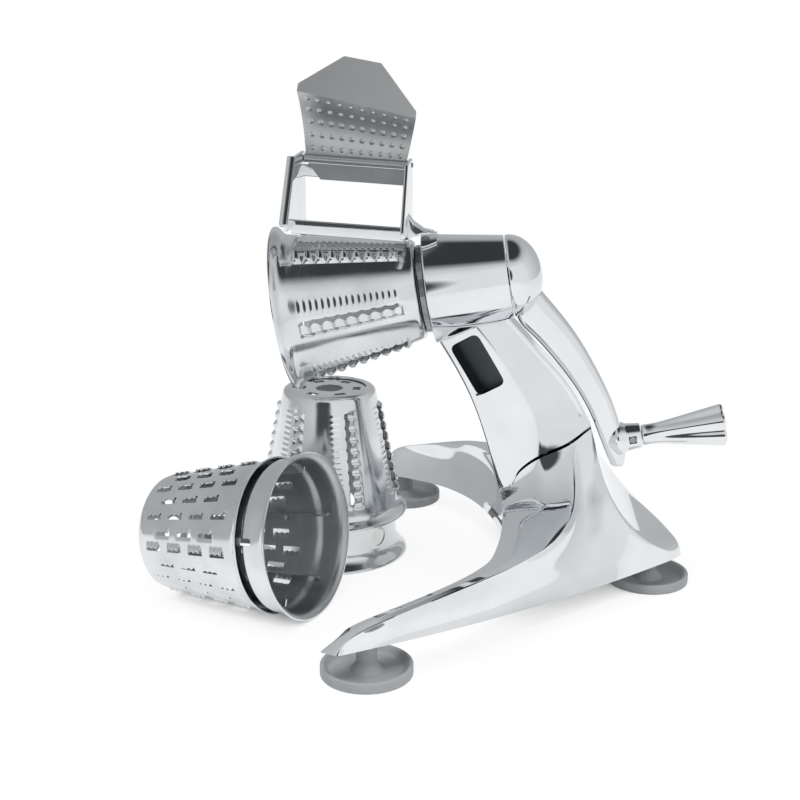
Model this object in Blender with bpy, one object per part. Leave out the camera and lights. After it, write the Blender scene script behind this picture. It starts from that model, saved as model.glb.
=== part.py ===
"""Rotary vegetable chopper: a hand cranked drum grater on a three legged cast stand.

Lengths are in metres and +Z is up. The machine stands on the plane z = 0. Its crank points
to +X, its drum opens to -X, and its user stands on the -Y side. Every piece hangs from the
empty "machine", which puts the centre of the rear suction cup's underside at the origin.
"""
import bpy
import bmesh
from math import atan2, cos, hypot, pi, radians, sin, tan
from mathutils import Matrix, Vector

# Clearances between pieces
GAP = 0.0003
RUN = 0.0004
SHEET = 0.0010

# Suction cups and the places of the feet
FRONT_FOOT = (-0.0012, -0.1544)
REAR_FOOT_X = 0.1778
CUP_RADIUS = 0.0277
CUP_RIM_HEIGHT = 0.0066
CUP_FLOOR = 0.0026
CUP_WALL = 0.0024
CUP_NECK_RADIUS = 0.0062
STUD_RADIUS = 0.0029
STUD_REACH = 0.0045
HEM_HEIGHT = 0.0200

# Shaft line: a point on it and its climb towards the crank
SHAFT_HEIGHT = 0.1979
SHAFT_TILT = radians(9.23)
SHAFT_RADIUS = 0.0060

# Head barrel, by distance along the shaft
HEAD_FRONT = 0.0262
HEAD_BACK = 0.0793
HEAD_FRONT_RADIUS = 0.0358
HEAD_BACK_RADIUS = 0.0273
HEAD_RECESS_RADIUS = 0.0318
HEAD_RECESS_DEPTH = 0.0055
CAVITY_RADIUS = 0.0220
CAVITY_BACK = 0.0660
SHOULDER_RADIUS = 0.0200
PLATE_THICK = 0.0040
BUSH_WALL = 0.0024
BUSH_FLANGE = 0.0015
BOLT_RADIUS = 0.0025
BOLT_HEAD_RADIUS = 0.0042
BOLT_HEAD_HEIGHT = 0.0030
HEAD_BOLTS = {"head_bolt_front": 0.0460, "head_bolt_rear": 0.0600}
HEAD_BOLT_REACH = 0.0120

# Mounted drum and its drive hub
DRUM_LENGTH = 0.0912
DRUM_BACK = 0.0214
DRUM_MOUTH_RADIUS = 0.0550
DRUM_NECK_RADIUS = 0.0484
DRUM_END_RADIUS = 0.0317
DRUM_LIP_RADIUS = 0.0262
DRUM_SECTORS = 6
DRUM_TEETH = 9
TOOTH_RISE = 0.0028
TOOTH_VALLEY = 0.0014
SLOT_SHARE = 0.13
BLADE_PHASE = radians(282)
SPARE_BLADE_PHASE = radians(300)
END_HOLES = 6
END_HOLE_RING = 0.0195
END_HOLE_SIZE = (0.0054, 0.0082)
HUB_RADIUS = 0.0290
HUB_THICK = 0.0032
SPIGOT_RADIUS = 0.0090
SPIGOT_LENGTH = 0.0085
LUG_LENGTH = 0.0050
LUG_CLEARANCE = 0.0006
HUB_BOSS_RADIUS = 0.0105

# Crank: the handle swings as low as HANDLE_LOWEST. Stations of the arm are its inner edge, its
# outer edge (metres along the shaft, share of the handle's swing away from it) and half width.
HANDLE_LOWEST = 0.0779
HANDLE_RADIUS_ARM = SHAFT_HEIGHT - HANDLE_LOWEST
CRANK_STATIONS = [
    ((0.0835, 0.1000), (0.0965, 0.0667), 0.0110),
    ((0.0805, 0.2333), (0.1025, 0.1458), 0.0110),
    ((0.0915, 0.3667), (0.1125, 0.2833), 0.0100),
    ((0.1010, 0.4917), (0.1215, 0.4333), 0.0090),
    ((0.1115, 0.6500), (0.1310, 0.6417), 0.0082),
    ((0.1190, 0.8083), (0.1368, 0.8083), 0.0080),
    ((0.1230, 0.9417), (0.1395, 0.9417), 0.0084),
    ((0.1265, 1.0667), (0.1405, 1.0667), 0.0078),
    ((0.1295, 1.1542), (0.1380, 1.1625), 0.0060),
]
CRANK_CHAMFER = 0.28
DOME_LENGTH = 0.0217
BOSS_START = 0.1340
BOSS_END = 0.1516
BOSS_RADIUS = 0.0098
BOSS_NECK_RADIUS = 0.0082
GRIP_LENGTH = 0.0545
GRIP_NECK_RADIUS = 0.0070
GRIP_END_RADIUS = 0.0143
GRIP_LOBES = 6
GRIP_FLUTE_DEPTH = 0.20
AXLE_RADIUS = 0.0030

# Hinge line of the pusher: middle point, fall towards the crank, half length
HINGE_ABOVE_SHAFT = 0.0833
HINGE = (-0.0259, 0.0350, SHAFT_HEIGHT + HINGE_ABOVE_SHAFT)
HINGE_FALL = radians(3.66)
HINGE_PIN_RADIUS = 0.0015
KNUCKLE_RADIUS = 0.0030
KNUCKLE_HALF = 0.0350

# Pusher plate
PUSHER_BEND_LEFT = 0.0500
PUSHER_BEND_RIGHT = 0.0358
PUSHER_START = radians(-6)
PUSHER_END = radians(52)
PUSHER_WIDEN = 0.0048
PUSHER_STRAIGHT = 0.25
PUSHER_SHEET = 0.0014
DIMPLE_ROWS = 5
DIMPLE_COLUMNS = 10
DIMPLE_RISE = 0.0011
PALM_LEAN = radians(-12)
PALM_OUTLINE = [(-1.00, 0.0045), (-0.26, 0.0290), (0.36, 0.0300), (1.00, 0.0045)]

# Hopper, measured from the middle of the hinge line (x to the crank, y away from the user)
WALL_INNER = 0.0354
WALL_THICK = 0.0024
WALL_OUTLINE = [(0.0062, 0.0042), (-0.0360, 0.0036), (-0.0745, -0.0350), (-0.0745, -0.0392),
                (-0.0250, -0.0430), (0.0062, -0.0530)]
WALL_FLANGE = 0.0032
WALL_FLANGE_THICK = 0.0026
BACK_BAR_Y = (0.0036, 0.0062)
BACK_BARS_Z = [(-0.0130, -0.0048), (-0.0530, -0.0490)]
RAIL_Y = (-0.0575, -0.0550)
RAIL_Z = (-0.0430, -0.0340)
GUSSET = [(0.0372, -0.0300), (0.0416, -0.0355), (0.0481, -0.0400), (0.0551, -0.0415),
          (0.0551, -0.0470), (0.0372, -0.0500)]
GUSSET_HALF = 0.0060
SADDLE_THICK = 0.0015
SADDLE = [(0.0270, radians(34)), (0.0300, radians(33)), (0.0335, radians(30)), (0.0370, radians(26))]
HOPPER_SCREWS = {"hopper_screw_front": radians(20), "hopper_screw_back": radians(-20)}
HOPPER_SCREW_AT = 0.0300
SCREW_RADIUS = 0.0014
SCREW_HEAD_RADIUS = 0.0026
LEAF_THICK = 0.0012
LEAF_OUTLINE = [(-0.0330, -0.0036), (-0.0246, -0.0142), (0.0351, -0.0142), (0.0351, -0.0036)]

# Cradle of the support arm round the underside of the barrel
CRADLE = [(0.0268, radians(56)), (0.0400, radians(47)), (0.0550, radians(38)), (0.0700, radians(27))]
CRADLE_THICK = 0.0011

# Spare drums on the table
SPARE_PLACE = (-0.0473, 0.0430)
SPARE_COLLAR_HEIGHT = 0.0310
FINE_PLACE = (-0.0399, -0.0770)
FINE_YAW = radians(-21.2)
FINE_COLLAR_HEIGHT = 0.0225
FINE_LENGTH = 0.0858
FINE_NECK_RADIUS = 0.0484
FINE_FLANGE_RADIUS = FINE_NECK_RADIUS + 0.0026
FINE_END_RADIUS = 0.0372
FINE_LIP_RADIUS = 0.0310
FINE_ROWS = 16
FINE_PITCHES = 4
FINE_LIP_RISE = 0.0012
COLLAR_NECK_RADIUS = 0.0470
FINE_COLLAR_RADIUS = FINE_FLANGE_RADIUS
FINE_COLLAR_RIM = FINE_COLLAR_RADIUS + 0.0030
COLLAR_HOLE_RADIUS = 0.0062
COLLAR_PLUG = 0.0085
COLLAR_PLUG_GAP = 0.0008
FINE_FIRST_SLOT = 0.0110

# Stand casting. Each line runs from the head, where it hangs from the shaft, down to the end of a
# leg, near side only.
NOSE_LINE = [(0.030, -0.003, SHAFT_HEIGHT - 0.0239), (0.045, -0.004, SHAFT_HEIGHT - 0.0479),
             (0.057, -0.005, SHAFT_HEIGHT - 0.0719),
             (0.066, -0.007, 0.100), (0.072, -0.010, 0.078), (0.0765, -0.018, 0.060),
             (0.077, -0.040, 0.050), (0.072, -0.084, 0.049), (0.066, -0.105, 0.0495),
             (0.050, -0.128, 0.0485), (0.024, -0.145, 0.0425), (-0.012, -0.163, 0.033),
             (-0.014, -0.150, HEM_HEIGHT)]
FACE_LINE = [(0.057, -0.019, SHAFT_HEIGHT - 0.0169), (0.071, -0.0205, SHAFT_HEIGHT - 0.0339),
             (0.086, -0.022, SHAFT_HEIGHT - 0.0589),
             (0.0945, -0.023, 0.117), (0.100, -0.025, 0.096), (0.102, -0.031, 0.077),
             (0.101, -0.045, 0.062), (0.092, -0.080, 0.054), (0.078, -0.107, 0.052),
             (0.056, -0.132, 0.0505), (0.027, -0.149, 0.043), (-0.010, -0.1655, 0.032),
             (-0.027, -0.170, HEM_HEIGHT)]
CREST_LINE = [(0.0745, -0.012, SHAFT_HEIGHT - 0.0119), (0.0985, -0.013, SHAFT_HEIGHT - 0.0389),
              (0.115, -0.014, SHAFT_HEIGHT - 0.0569),
              (0.1285, -0.016, 0.117), (0.124, -0.024, 0.100), (0.124, -0.038, 0.079),
              (0.122, -0.055, 0.067), (0.111, -0.078, 0.057), (0.090, -0.105, 0.0525),
              (0.062, -0.134, 0.050), (0.030, -0.1515, 0.042), (-0.008, -0.169, 0.030),
              (-0.016, -0.175, HEM_HEIGHT)]
REAR_LINE = [(0.0762, -0.012, SHAFT_HEIGHT - 0.0129), (0.1005, -0.013, SHAFT_HEIGHT - 0.0399),
             (0.1172, -0.014, SHAFT_HEIGHT - 0.0581),
             (0.1315, -0.016, 0.115), (0.137, -0.020, 0.097), (0.143, -0.028, 0.082),
             (0.148, -0.034, 0.071), (0.154, -0.037, 0.061), (0.161, -0.037, 0.052),
             (0.171, -0.033, 0.042), (0.182, -0.026, 0.0335), (0.192, -0.015, 0.026),
             (0.194, -0.012, HEM_HEIGHT)]
REAR_TIP = [(0.2000, 0.0250), (0.2030, HEM_HEIGHT)]
WEB_DEPTH = [-0.0003, -0.0003, -0.0003, 0.0, 0.0015, 0.004, 0.006, 0.007, 0.0075, 0.0075,
             0.003, -0.006, -0.009]
WEB_SAG = [0.0, 0.0, 0.0, 0.0, 0.0, 0.002, 0.004, 0.007, 0.009, 0.010, 0.009, 0.005, 0.0]
ARCH_X = [0.029, 0.044, 0.056, 0.065, 0.073, 0.0785, 0.081, 0.082, 0.082, 0.082, 0.082,
          0.082, 0.082]
ARCH_Z = [SHAFT_HEIGHT - 0.0239, SHAFT_HEIGHT - 0.0479, SHAFT_HEIGHT - 0.0719, 0.100, 0.077, 0.057,
          0.046, 0.040, 0.036, 0.032, 0.028, 0.024, HEM_HEIGHT]
FAR_RISE = 0.0060
SEAM = [(0.240, 0.150), (0.136, 0.1145), (0.119, 0.1030), (0.101, 0.0950), (0.088, 0.0835),
        (0.081, 0.0710), (0.064, 0.0655)]
ARM_BOLTS = {"arm_bolt_front": 0.1015, "arm_bolt_rear": 0.1180}
ARM_BOLT_REACH = 0.0180
POCKET_TOP = 0.0440
POCKET_FOOT = [(0.0920, -0.0660), (0.0920, 0.0660), (0.1620, 0.0)]
POCKET_ROOF = [(0.0950, -0.0400), (0.0950, 0.0400), (0.1420, 0.0)]
WINDOW_SIZE = (0.0370, 0.0185, 0.0060)
WINDOW_MIDDLE = (0.0600, -0.0125, SHAFT_HEIGHT - 0.0444)
WINDOW_DOWN = (0.53, 0.0, -0.85)
WINDOW_ACROSS = (0.675, -0.467, 0.571)


# Scene, materials and mesh helpers

for old in list(bpy.data.objects):
    bpy.data.objects.remove(old, do_unlink=True)


def material(name, colour, metallic, roughness):
    """A Principled material with one colour."""
    mat = bpy.data.materials.new(name)
    mat.use_nodes = True
    shader = mat.node_tree.nodes["Principled BSDF"]
    shader.inputs["Base Color"].default_value = (*colour, 1.0)
    shader.inputs["Metallic"].default_value = metallic
    shader.inputs["Roughness"].default_value = roughness
    return mat


CHROME = material("polished_chrome", (0.86, 0.87, 0.88), 1.0, 0.06)
STEEL = material("stainless_sheet", (0.70, 0.71, 0.72), 1.0, 0.22)
DARK_STEEL = material("satin_steel", (0.45, 0.46, 0.47), 1.0, 0.35)
BRONZE = material("sintered_bronze", (0.55, 0.38, 0.20), 1.0, 0.40)
RUBBER = material("grey_rubber", (0.36, 0.37, 0.38), 0.0, 0.55)


def put(name, mesh, mat, parent, location=(0, 0, 0), rotation=(0, 0, 0)):
    """One named object from a mesh, set under its parent."""
    obj = bpy.data.objects.new(name, mesh)
    bpy.context.scene.collection.objects.link(obj)
    obj.parent = parent
    obj.location = location
    obj.rotation_euler = rotation
    if mat is not None:
        mesh.materials.append(mat)
    return obj


def empty(name, parent, location=(0, 0, 0), rotation=(0, 0, 0)):
    """A guide frame that pieces hang from."""
    obj = bpy.data.objects.new(name, None)
    bpy.context.scene.collection.objects.link(obj)
    obj.parent = parent
    obj.location = location
    obj.rotation_euler = rotation
    return obj


def finish_mesh(name, bm, smooth_angle=40):
    """Turn a bmesh into a mesh with outward faces and smooth round sides."""
    bmesh.ops.recalc_face_normals(bm, faces=bm.faces)
    mesh = bpy.data.meshes.new(name)
    bm.to_mesh(mesh)
    bm.free()
    mesh.shade_smooth()
    mesh.set_sharp_from_angle(angle=radians(smooth_angle))
    return mesh


def turned(name, profile, steps, start=0.0):
    """Spin a closed outline of (radius, height) round Z. Radius 0 makes a pole."""
    bm = bmesh.new()
    rings = []
    for radius, height in profile:
        if radius == 0:
            rings.append([bm.verts.new((0, 0, height))])
            continue
        ring = []
        for i in range(steps):
            angle = start + 2 * pi * i / steps
            ring.append(bm.verts.new((radius * cos(angle), radius * sin(angle), height)))
        rings.append(ring)
    for a, b in zip(rings, rings[1:] + rings[:1]):
        if len(a) == 1 and len(b) == 1:
            continue
        for i in range(steps):
            j = (i + 1) % steps
            if len(a) == 1:
                bm.faces.new((a[0], b[i], b[j]))
            elif len(b) == 1:
                bm.faces.new((a[i], a[j], b[0]))
            else:
                bm.faces.new((a[i], a[j], b[j], b[i]))
    return finish_mesh(name, bm)


def rod(name, radius, low, high, steps=20):
    """A plain cylinder along Z."""
    return turned(name, [(0, low), (radius, low), (radius, high), (0, high)], steps, 0.1)


def tube(name, inner, outer, low, high, steps=24):
    """A plain ring along Z."""
    return turned(name, [(outer, low), (outer, high), (inner, high), (inner, low)], steps)


def headed(name, radius, head_radius, head_low, head_high, tip, steps=16):
    """A screw or bolt along Z, its head between two heights and its shank down to tip."""
    outline = [(0, tip), (radius, tip), (radius, head_low), (head_radius, head_low),
               (head_radius, head_high - 0.0006), (head_radius - 0.0006, head_high), (0, head_high)]
    return turned(name, outline, steps)


def loft(name, rings, smooth_angle=40):
    """Skin closed rings of points and close both ends."""
    bm = bmesh.new()
    loops = [[bm.verts.new(p) for p in ring] for ring in rings]
    count = len(loops[0])
    for a, b in zip(loops, loops[1:]):
        for i in range(count):
            j = (i + 1) % count
            bm.faces.new((a[i], a[j], b[j], b[i]))
    ends = [bm.faces.new(loops[0]), bm.faces.new(list(reversed(loops[-1])))]
    bmesh.ops.triangulate(bm, faces=ends)
    return finish_mesh(name, bm, smooth_angle)


def prism(name, outline, axis, low, high):
    """Extrude a flat outline along one axis (0, 1 or 2); outline points fill the other two."""
    rings = []
    for level in (low, high):
        ring = []
        for p, q in outline:
            point = [p, q]
            point.insert(axis, level)
            ring.append(tuple(point))
        rings.append(ring)
    return loft(name, rings, 20)


def box(name, low, high):
    """A box between two corners."""
    outline = [(low[0], low[1]), (high[0], low[1]), (high[0], high[1]), (low[0], high[1])]
    return prism(name, outline, 2, low[2], high[2])


def merge(meshes, name):
    """Several loose shapes in one mesh, used for cutters."""
    bm = bmesh.new()
    for mesh in meshes:
        bm.from_mesh(mesh)
    return finish_mesh(name, bm)


def combine(target, tool, operation):
    """Cut, add or intersect a hidden tool shape."""
    tool.hide_render = True
    tool.display_type = "WIRE"
    step = target.modifiers.new(tool.name, "BOOLEAN")
    step.operation = operation
    step.solver = "EXACT"
    step.object = tool


def cut(target, mesh, parent, location=(0, 0, 0), rotation=(0, 0, 0)):
    """Take a shape away from a piece."""
    tool = put(mesh.name, mesh, None, parent, location, rotation)
    combine(target, tool, "DIFFERENCE")
    return tool


def add(target, mesh, parent, location=(0, 0, 0), rotation=(0, 0, 0)):
    """Fuse a shape with a piece."""
    tool = put(mesh.name, mesh, None, parent, location, rotation)
    combine(target, tool, "UNION")
    return tool


# Frames

machine = empty("machine", None, (-REAR_FOOT_X, 0, 0))
SHAFT_TURN = (0, pi / 2 - SHAFT_TILT, 0)
shaft_frame = empty("shaft_frame", machine, (0, 0, SHAFT_HEIGHT), SHAFT_TURN)
hopper_frame = empty("hopper_frame", machine, HINGE)
hinge_frame = empty("hinge_frame", machine, HINGE, (0, HINGE_FALL, 0))


def along_shaft(distance, away):
    """Machine point at a distance along the shaft and away from it, downwards."""
    x = distance * cos(SHAFT_TILT) + away * sin(SHAFT_TILT)
    z = SHAFT_HEIGHT + distance * sin(SHAFT_TILT) - away * cos(SHAFT_TILT)
    return x, z


# Stand casting: base and support arm share one skin, parted at the seam

def mirrored(line):
    """The far side of a line, a little higher on the legs."""
    return [(x, -y, z + FAR_RISE * leg_share(i, len(line))) for i, (x, y, z) in enumerate(line)]


def leg_share(level, count):
    """0 on the column, 1 on the leg crests, 0 again at the hem."""
    if level == count - 1:
        return 0.0
    return min(1.0, max(0.0, (level - 4) / 3))


def spline(points, steps):
    """Points on a smooth curve through the given ones."""
    ends = [2 * points[0] - points[1]] + list(points) + [2 * points[-1] - points[-2]]
    out = []
    for a, b, c, d in zip(ends, ends[1:], ends[2:], ends[3:]):
        for k in range(steps):
            t = k / steps
            out.append(0.5 * (2 * b + (c - a) * t + (2 * a - 5 * b + 4 * c - d) * t ** 2
                              + (3 * b - a - 3 * c + d) * t ** 3))
    out.append(points[-1].copy())
    return out


def outer_web(level, crest, rear):
    """Points across the web between a front leg's crest and the rear leg's edge."""
    a = Vector(crest)
    b = Vector(rear)
    chord = b - a
    inward = Vector((-chord.y, chord.x, 0)).normalized()
    if a.y > 0:
        inward = -inward
    out = []
    for t in (0.25, 0.5, 0.75):
        bow = 4 * t * (1 - t)
        point = a.lerp(b, t) + inward * WEB_DEPTH[level] * bow
        point.z -= WEB_SAG[level] * bow
        out.append(point)
    return out


def arch_web(level, back, front):
    """Points round the arch between the two front legs, from the back leg to the front one."""
    a = Vector(back)
    b = Vector(front)
    out = []
    for k in range(1, 6):
        angle = pi * k / 6
        share = (1 - cos(angle)) / 2
        end = a.lerp(b, share)
        x = end.x + (ARCH_X[level] - end.x) * sin(angle)
        z = end.z + (ARCH_Z[level] - end.z) * sin(angle)
        out.append(Vector((x, end.y, z)))
    return out


def casting_mesh(name):
    """The whole stand as one closed skin: three ribbons, two webs and the arch."""
    near = [NOSE_LINE, FACE_LINE, CREST_LINE, REAR_LINE]
    far = [mirrored(line) for line in near]
    levels = []
    for i in range(len(NOSE_LINE)):
        nose, face, crest, rear = [Vector(line[i]) for line in near]
        nose_far, face_far, crest_far, rear_far = [Vector(line[i]) for line in far]
        spine = (rear + rear_far) / 2
        if i >= len(NOSE_LINE) - 2:
            spine = Vector((REAR_TIP[i - len(NOSE_LINE) + 2][0], 0, spine.z))
        web = outer_web(i, crest, rear)
        web_far = outer_web(i, crest_far, rear_far)
        levels.append([[nose, face, crest], [crest, *web, rear], [rear, spine, rear_far],
                       [rear_far, *reversed(web_far), crest_far],
                       [crest_far, face_far, nose_far],
                       [nose_far, *arch_web(i, nose_far, nose), nose]])
    rings = []
    for part in range(6):
        columns = [spline([level[part][k] for level in levels], 2)
                   for k in range(len(levels[0][part]))]
        fineness = 2 if part in (1, 3) else 1
        rows = [spline(list(row), fineness)[:-1] for row in zip(*columns)]
        rings = [ring + row for ring, row in zip(rings, rows)] if rings else rows
    return loft(name, rings, 28)


def seam_mesh(name, drop):
    """Everything above the seam between the arm and the base."""
    outline = [(x, z - drop) for x, z in SEAM]
    outline += [(-0.020, 0.100), (-0.060, 0.300), (SEAM[0][0], 0.300)]
    return prism(name, outline, 1, -0.070, 0.070)


def head_outline(clearance=0.0):
    """Outer cone of the barrel as (radius, distance along the shaft)."""
    slope = (HEAD_BACK_RADIUS - HEAD_FRONT_RADIUS) / (HEAD_BACK - HEAD_FRONT)
    front = HEAD_FRONT - clearance
    back = HEAD_BACK + clearance
    front_radius = HEAD_FRONT_RADIUS + slope * (front - HEAD_FRONT) + clearance
    back_radius = HEAD_BACK_RADIUS + slope * (back - HEAD_BACK) + clearance
    return [(front_radius, front), (back_radius, back)]


def barrel_radius(distance):
    """Outer radius of the barrel at a distance along the shaft."""
    share = (distance - HEAD_FRONT) / (HEAD_BACK - HEAD_FRONT)
    return HEAD_FRONT_RADIUS + (HEAD_BACK_RADIUS - HEAD_FRONT_RADIUS) * share


def barrel_patch(name, stations, thickness, upside):
    """A plate that follows the barrel; each station gives distance and half its spread."""
    rings = []
    middle = pi if upside else 0.0
    for distance, half in stations:
        low = (barrel_radius(distance) + GAP) / cos(half / 8)
        angles = [middle + half * k / 4 for k in range(-4, 5)]
        ring = [(low * cos(a), low * sin(a), distance) for a in angles]
        ring += [((low + thickness) * cos(a), (low + thickness) * sin(a), distance)
                 for a in reversed(angles)]
        rings.append(ring)
    return loft(name, rings)


def seam_height(x):
    """Height of the seam above a point of the base."""
    for (x1, z1), (x0, z0) in zip(SEAM, SEAM[1:]):
        if x0 <= x <= x1:
            return z0 + (z1 - z0) * (x - x0) / (x1 - x0)
    return SEAM[0][1]


def window_turn(side):
    """Axes of the window pocket in the arm's face, near (-1) or far (1) side."""
    down = Vector(WINDOW_DOWN).normalized()
    across = Vector(WINDOW_ACROSS)
    across.y *= -side
    across = (across - down * across.dot(down)).normalized()
    return Matrix((down, across, down.cross(across))).transposed().to_4x4()


base = put("base_casting", casting_mesh("base_casting"), CHROME, machine)
cut(base, seam_mesh("seam_above_base", GAP), machine)
pocket_rings = [[(x, y, HEM_HEIGHT - 0.002) for x, y in POCKET_FOOT],
                [(x, y, POCKET_TOP) for x, y in POCKET_ROOF]]
cut(base, loft("base_pocket", pocket_rings), machine)

arm = put("support_arm", casting_mesh("support_arm"), CHROME, machine)
combine(arm, put("seam_of_arm", seam_mesh("seam_of_arm", 0.0), None, machine), "INTERSECT")
(cone_front, front_at), (cone_back, back_at) = head_outline(GAP)
barrel_space = [(0, front_at - 0.012), (cone_front, front_at - 0.012), (cone_front, front_at),
                (cone_back, back_at), (cone_back, back_at + 0.012), (0, back_at + 0.012)]
cut(arm, turned("barrel_space", barrel_space, 40), shaft_frame)
base_holes = []
arm_holes = []
for side in (-1, 1):
    length, width, depth = WINDOW_SIZE
    pocket = box("arm_window_%d" % side, (-length / 2, -width / 2, -depth / 2),
                 (length / 2, width / 2, depth / 2))
    middle = Vector((WINDOW_MIDDLE[0], -side * WINDOW_MIDDLE[1], WINDOW_MIDDLE[2]))
    pocket.transform(Matrix.Translation(middle) @ window_turn(side))
    arm_holes.append(pocket)
for name, x in ARM_BOLTS.items():
    top = seam_height(x) + ARM_BOLT_REACH
    shank = rod(name + "_hole", BOLT_RADIUS + GAP, POCKET_TOP - 0.003, top + GAP, 16)
    shank.transform(Matrix.Translation((x, 0, 0)))
    base_holes.append(shank)
    arm_holes.append(shank)
    bolt = headed(name, BOLT_RADIUS, BOLT_HEAD_RADIUS, POCKET_TOP - GAP,
                  POCKET_TOP - GAP - BOLT_HEAD_HEIGHT, top)
    put(name, bolt, DARK_STEEL, machine, (x, 0, 0))
cut(arm, merge(arm_holes, "arm_holes"), machine)
add(arm, barrel_patch("arm_cradle", CRADLE, CRADLE_THICK, False), shaft_frame)


# Suction cups and their studs

def cup_mesh(name):
    """A flat dish with a raised rim and a neck that takes the stud."""
    inner = CUP_RADIUS - CUP_WALL
    neck_top = HEM_HEIGHT - GAP
    hole = STUD_RADIUS + GAP
    outline = [(0, 0), (CUP_RADIUS - 0.0012, 0), (CUP_RADIUS, 0.0012), (CUP_RADIUS, CUP_RIM_HEIGHT),
               (inner, CUP_RIM_HEIGHT), (inner - 0.0030, CUP_FLOOR), (CUP_NECK_RADIUS + 0.003, CUP_FLOOR),
               (CUP_NECK_RADIUS, CUP_FLOOR + 0.0035), (CUP_NECK_RADIUS, neck_top), (hole, neck_top),
               (hole, CUP_FLOOR + 0.002), (0, CUP_FLOOR + 0.002)]
    return turned(name, outline, 24)


FEET = {"front": (FRONT_FOOT[0], FRONT_FOOT[1]), "back": (FRONT_FOOT[0], -FRONT_FOOT[1]),
        "rear": (REAR_FOOT_X, 0.0)}
for place, (x, y) in FEET.items():
    put("suction_cup_" + place, cup_mesh("suction_cup_" + place), RUBBER, machine, (x, y, 0))
    stud_low = CUP_FLOOR + 0.002 + GAP
    stud = rod("cup_stud_" + place, STUD_RADIUS, stud_low, HEM_HEIGHT + STUD_REACH, 16)
    put("cup_stud_" + place, stud, DARK_STEEL, machine, (x, y, 0))
    hole = rod("stud_hole_" + place, STUD_RADIUS + GAP, HEM_HEIGHT - 0.002,
               HEM_HEIGHT + STUD_REACH + GAP, 16)
    hole.transform(Matrix.Translation((x, y, 0)))
    base_holes.append(hole)
cut(base, merge(base_holes, "base_holes"), machine)


# Head barrel with its bearings, turned round the shaft

bore = SHAFT_RADIUS + RUN
bush_outer = bore + BUSH_WALL
seat = bush_outer + GAP
recess_back = HEAD_FRONT + HEAD_RECESS_DEPTH
shoulder_at = recess_back + PLATE_THICK + GAP
(head_front_radius, _), (head_back_radius, _) = head_outline()
head_profile = [
    (head_front_radius, HEAD_FRONT), (head_back_radius, HEAD_BACK), (seat + 0.006, HEAD_BACK),
    (seat + 0.006, HEAD_BACK - 0.003), (seat, HEAD_BACK - 0.003), (seat, CAVITY_BACK),
    (SHOULDER_RADIUS, CAVITY_BACK), (SHOULDER_RADIUS, shoulder_at), (CAVITY_RADIUS, shoulder_at),
    (CAVITY_RADIUS, recess_back), (HEAD_RECESS_RADIUS, recess_back), (HEAD_RECESS_RADIUS, HEAD_FRONT)]
head = put("head_housing", turned("head_housing", head_profile, 36), CHROME, shaft_frame)

plate = tube("bearing_plate", seat, CAVITY_RADIUS - GAP, recess_back, shoulder_at - GAP, 32)
put("bearing_plate", plate, DARK_STEEL, shaft_frame)

front_bush = [(bore, recess_back - BUSH_FLANGE - GAP), (bush_outer + 0.003, recess_back - BUSH_FLANGE - GAP),
              (bush_outer + 0.003, recess_back - GAP), (bush_outer, recess_back - GAP),
              (bush_outer, shoulder_at - GAP), (bore, shoulder_at - GAP)]
put("front_bush", turned("front_bush", front_bush, 24), BRONZE, shaft_frame)
flange_at = HEAD_BACK - 0.003 + GAP
rear_bush = [(bore, CAVITY_BACK), (bush_outer, CAVITY_BACK), (bush_outer, flange_at),
             (bush_outer + 0.003, flange_at), (bush_outer + 0.003, flange_at + BUSH_FLANGE),
             (bore, flange_at + BUSH_FLANGE)]
put("rear_bush", turned("rear_bush", rear_bush, 24), BRONZE, shaft_frame)

head_holes = []
cradle_holes = []
seat_at = SHOULDER_RADIUS + 0.0015
for name, distance in HEAD_BOLTS.items():
    tip = barrel_radius(distance) + HEAD_BOLT_REACH
    place = Matrix.Translation((0, 0, distance)) @ Matrix.Rotation(pi / 2, 4, "Y")
    stepped = [(0, SHOULDER_RADIUS - 0.003), (BOLT_HEAD_RADIUS + GAP, SHOULDER_RADIUS - 0.003),
               (BOLT_HEAD_RADIUS + GAP, seat_at), (BOLT_RADIUS + GAP, seat_at),
               (BOLT_RADIUS + GAP, tip + GAP), (0, tip + GAP)]
    hole = turned(name + "_hole", stepped, 16, 0.1)
    hole.transform(place)
    head_holes.append(hole)
    cradle_holes.append(hole)
    bolt = headed(name, BOLT_RADIUS, BOLT_HEAD_RADIUS, seat_at - GAP,
                  seat_at - GAP - BOLT_HEAD_HEIGHT, tip)
    put(name, bolt, DARK_STEEL, shaft_frame, (0, 0, distance), (0, pi / 2, 0))
cut(arm, merge(cradle_holes, "cradle_holes"), shaft_frame)

saddle_holes = []
screw_top = barrel_radius(HOPPER_SCREW_AT) + GAP + SADDLE_THICK - 0.0001
screw_tip = barrel_radius(HOPPER_SCREW_AT) - 0.0026
for name, angle in HOPPER_SCREWS.items():
    outlines = []
    for spare in (0.0, GAP):
        outlines.append([(0, screw_tip - spare), (SCREW_RADIUS + spare, screw_tip - spare),
                         (SCREW_RADIUS + spare, screw_top - 0.0012),
                         (SCREW_HEAD_RADIUS + spare, screw_top), (0, screw_top)])
    outlines[1][-1:] = [(SCREW_HEAD_RADIUS + GAP, screw_top + 0.003), (0, screw_top + 0.003)]
    place = (Matrix.Translation((0, 0, HOPPER_SCREW_AT)) @ Matrix.Rotation(angle, 4, "Z")
             @ Matrix.Rotation(-pi / 2, 4, "Y"))
    hole = turned(name + "_hole", outlines[1], 12, 0.1)
    hole.transform(place)
    head_holes.append(hole)
    saddle_holes.append(hole)
    screw = put(name, turned(name, outlines[0], 12, 0.1), DARK_STEEL, shaft_frame)
    screw.matrix_basis = place
cut(head, merge(head_holes, "head_holes"), shaft_frame)


# Drive shaft, clip and the hub that carries the drum

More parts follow.
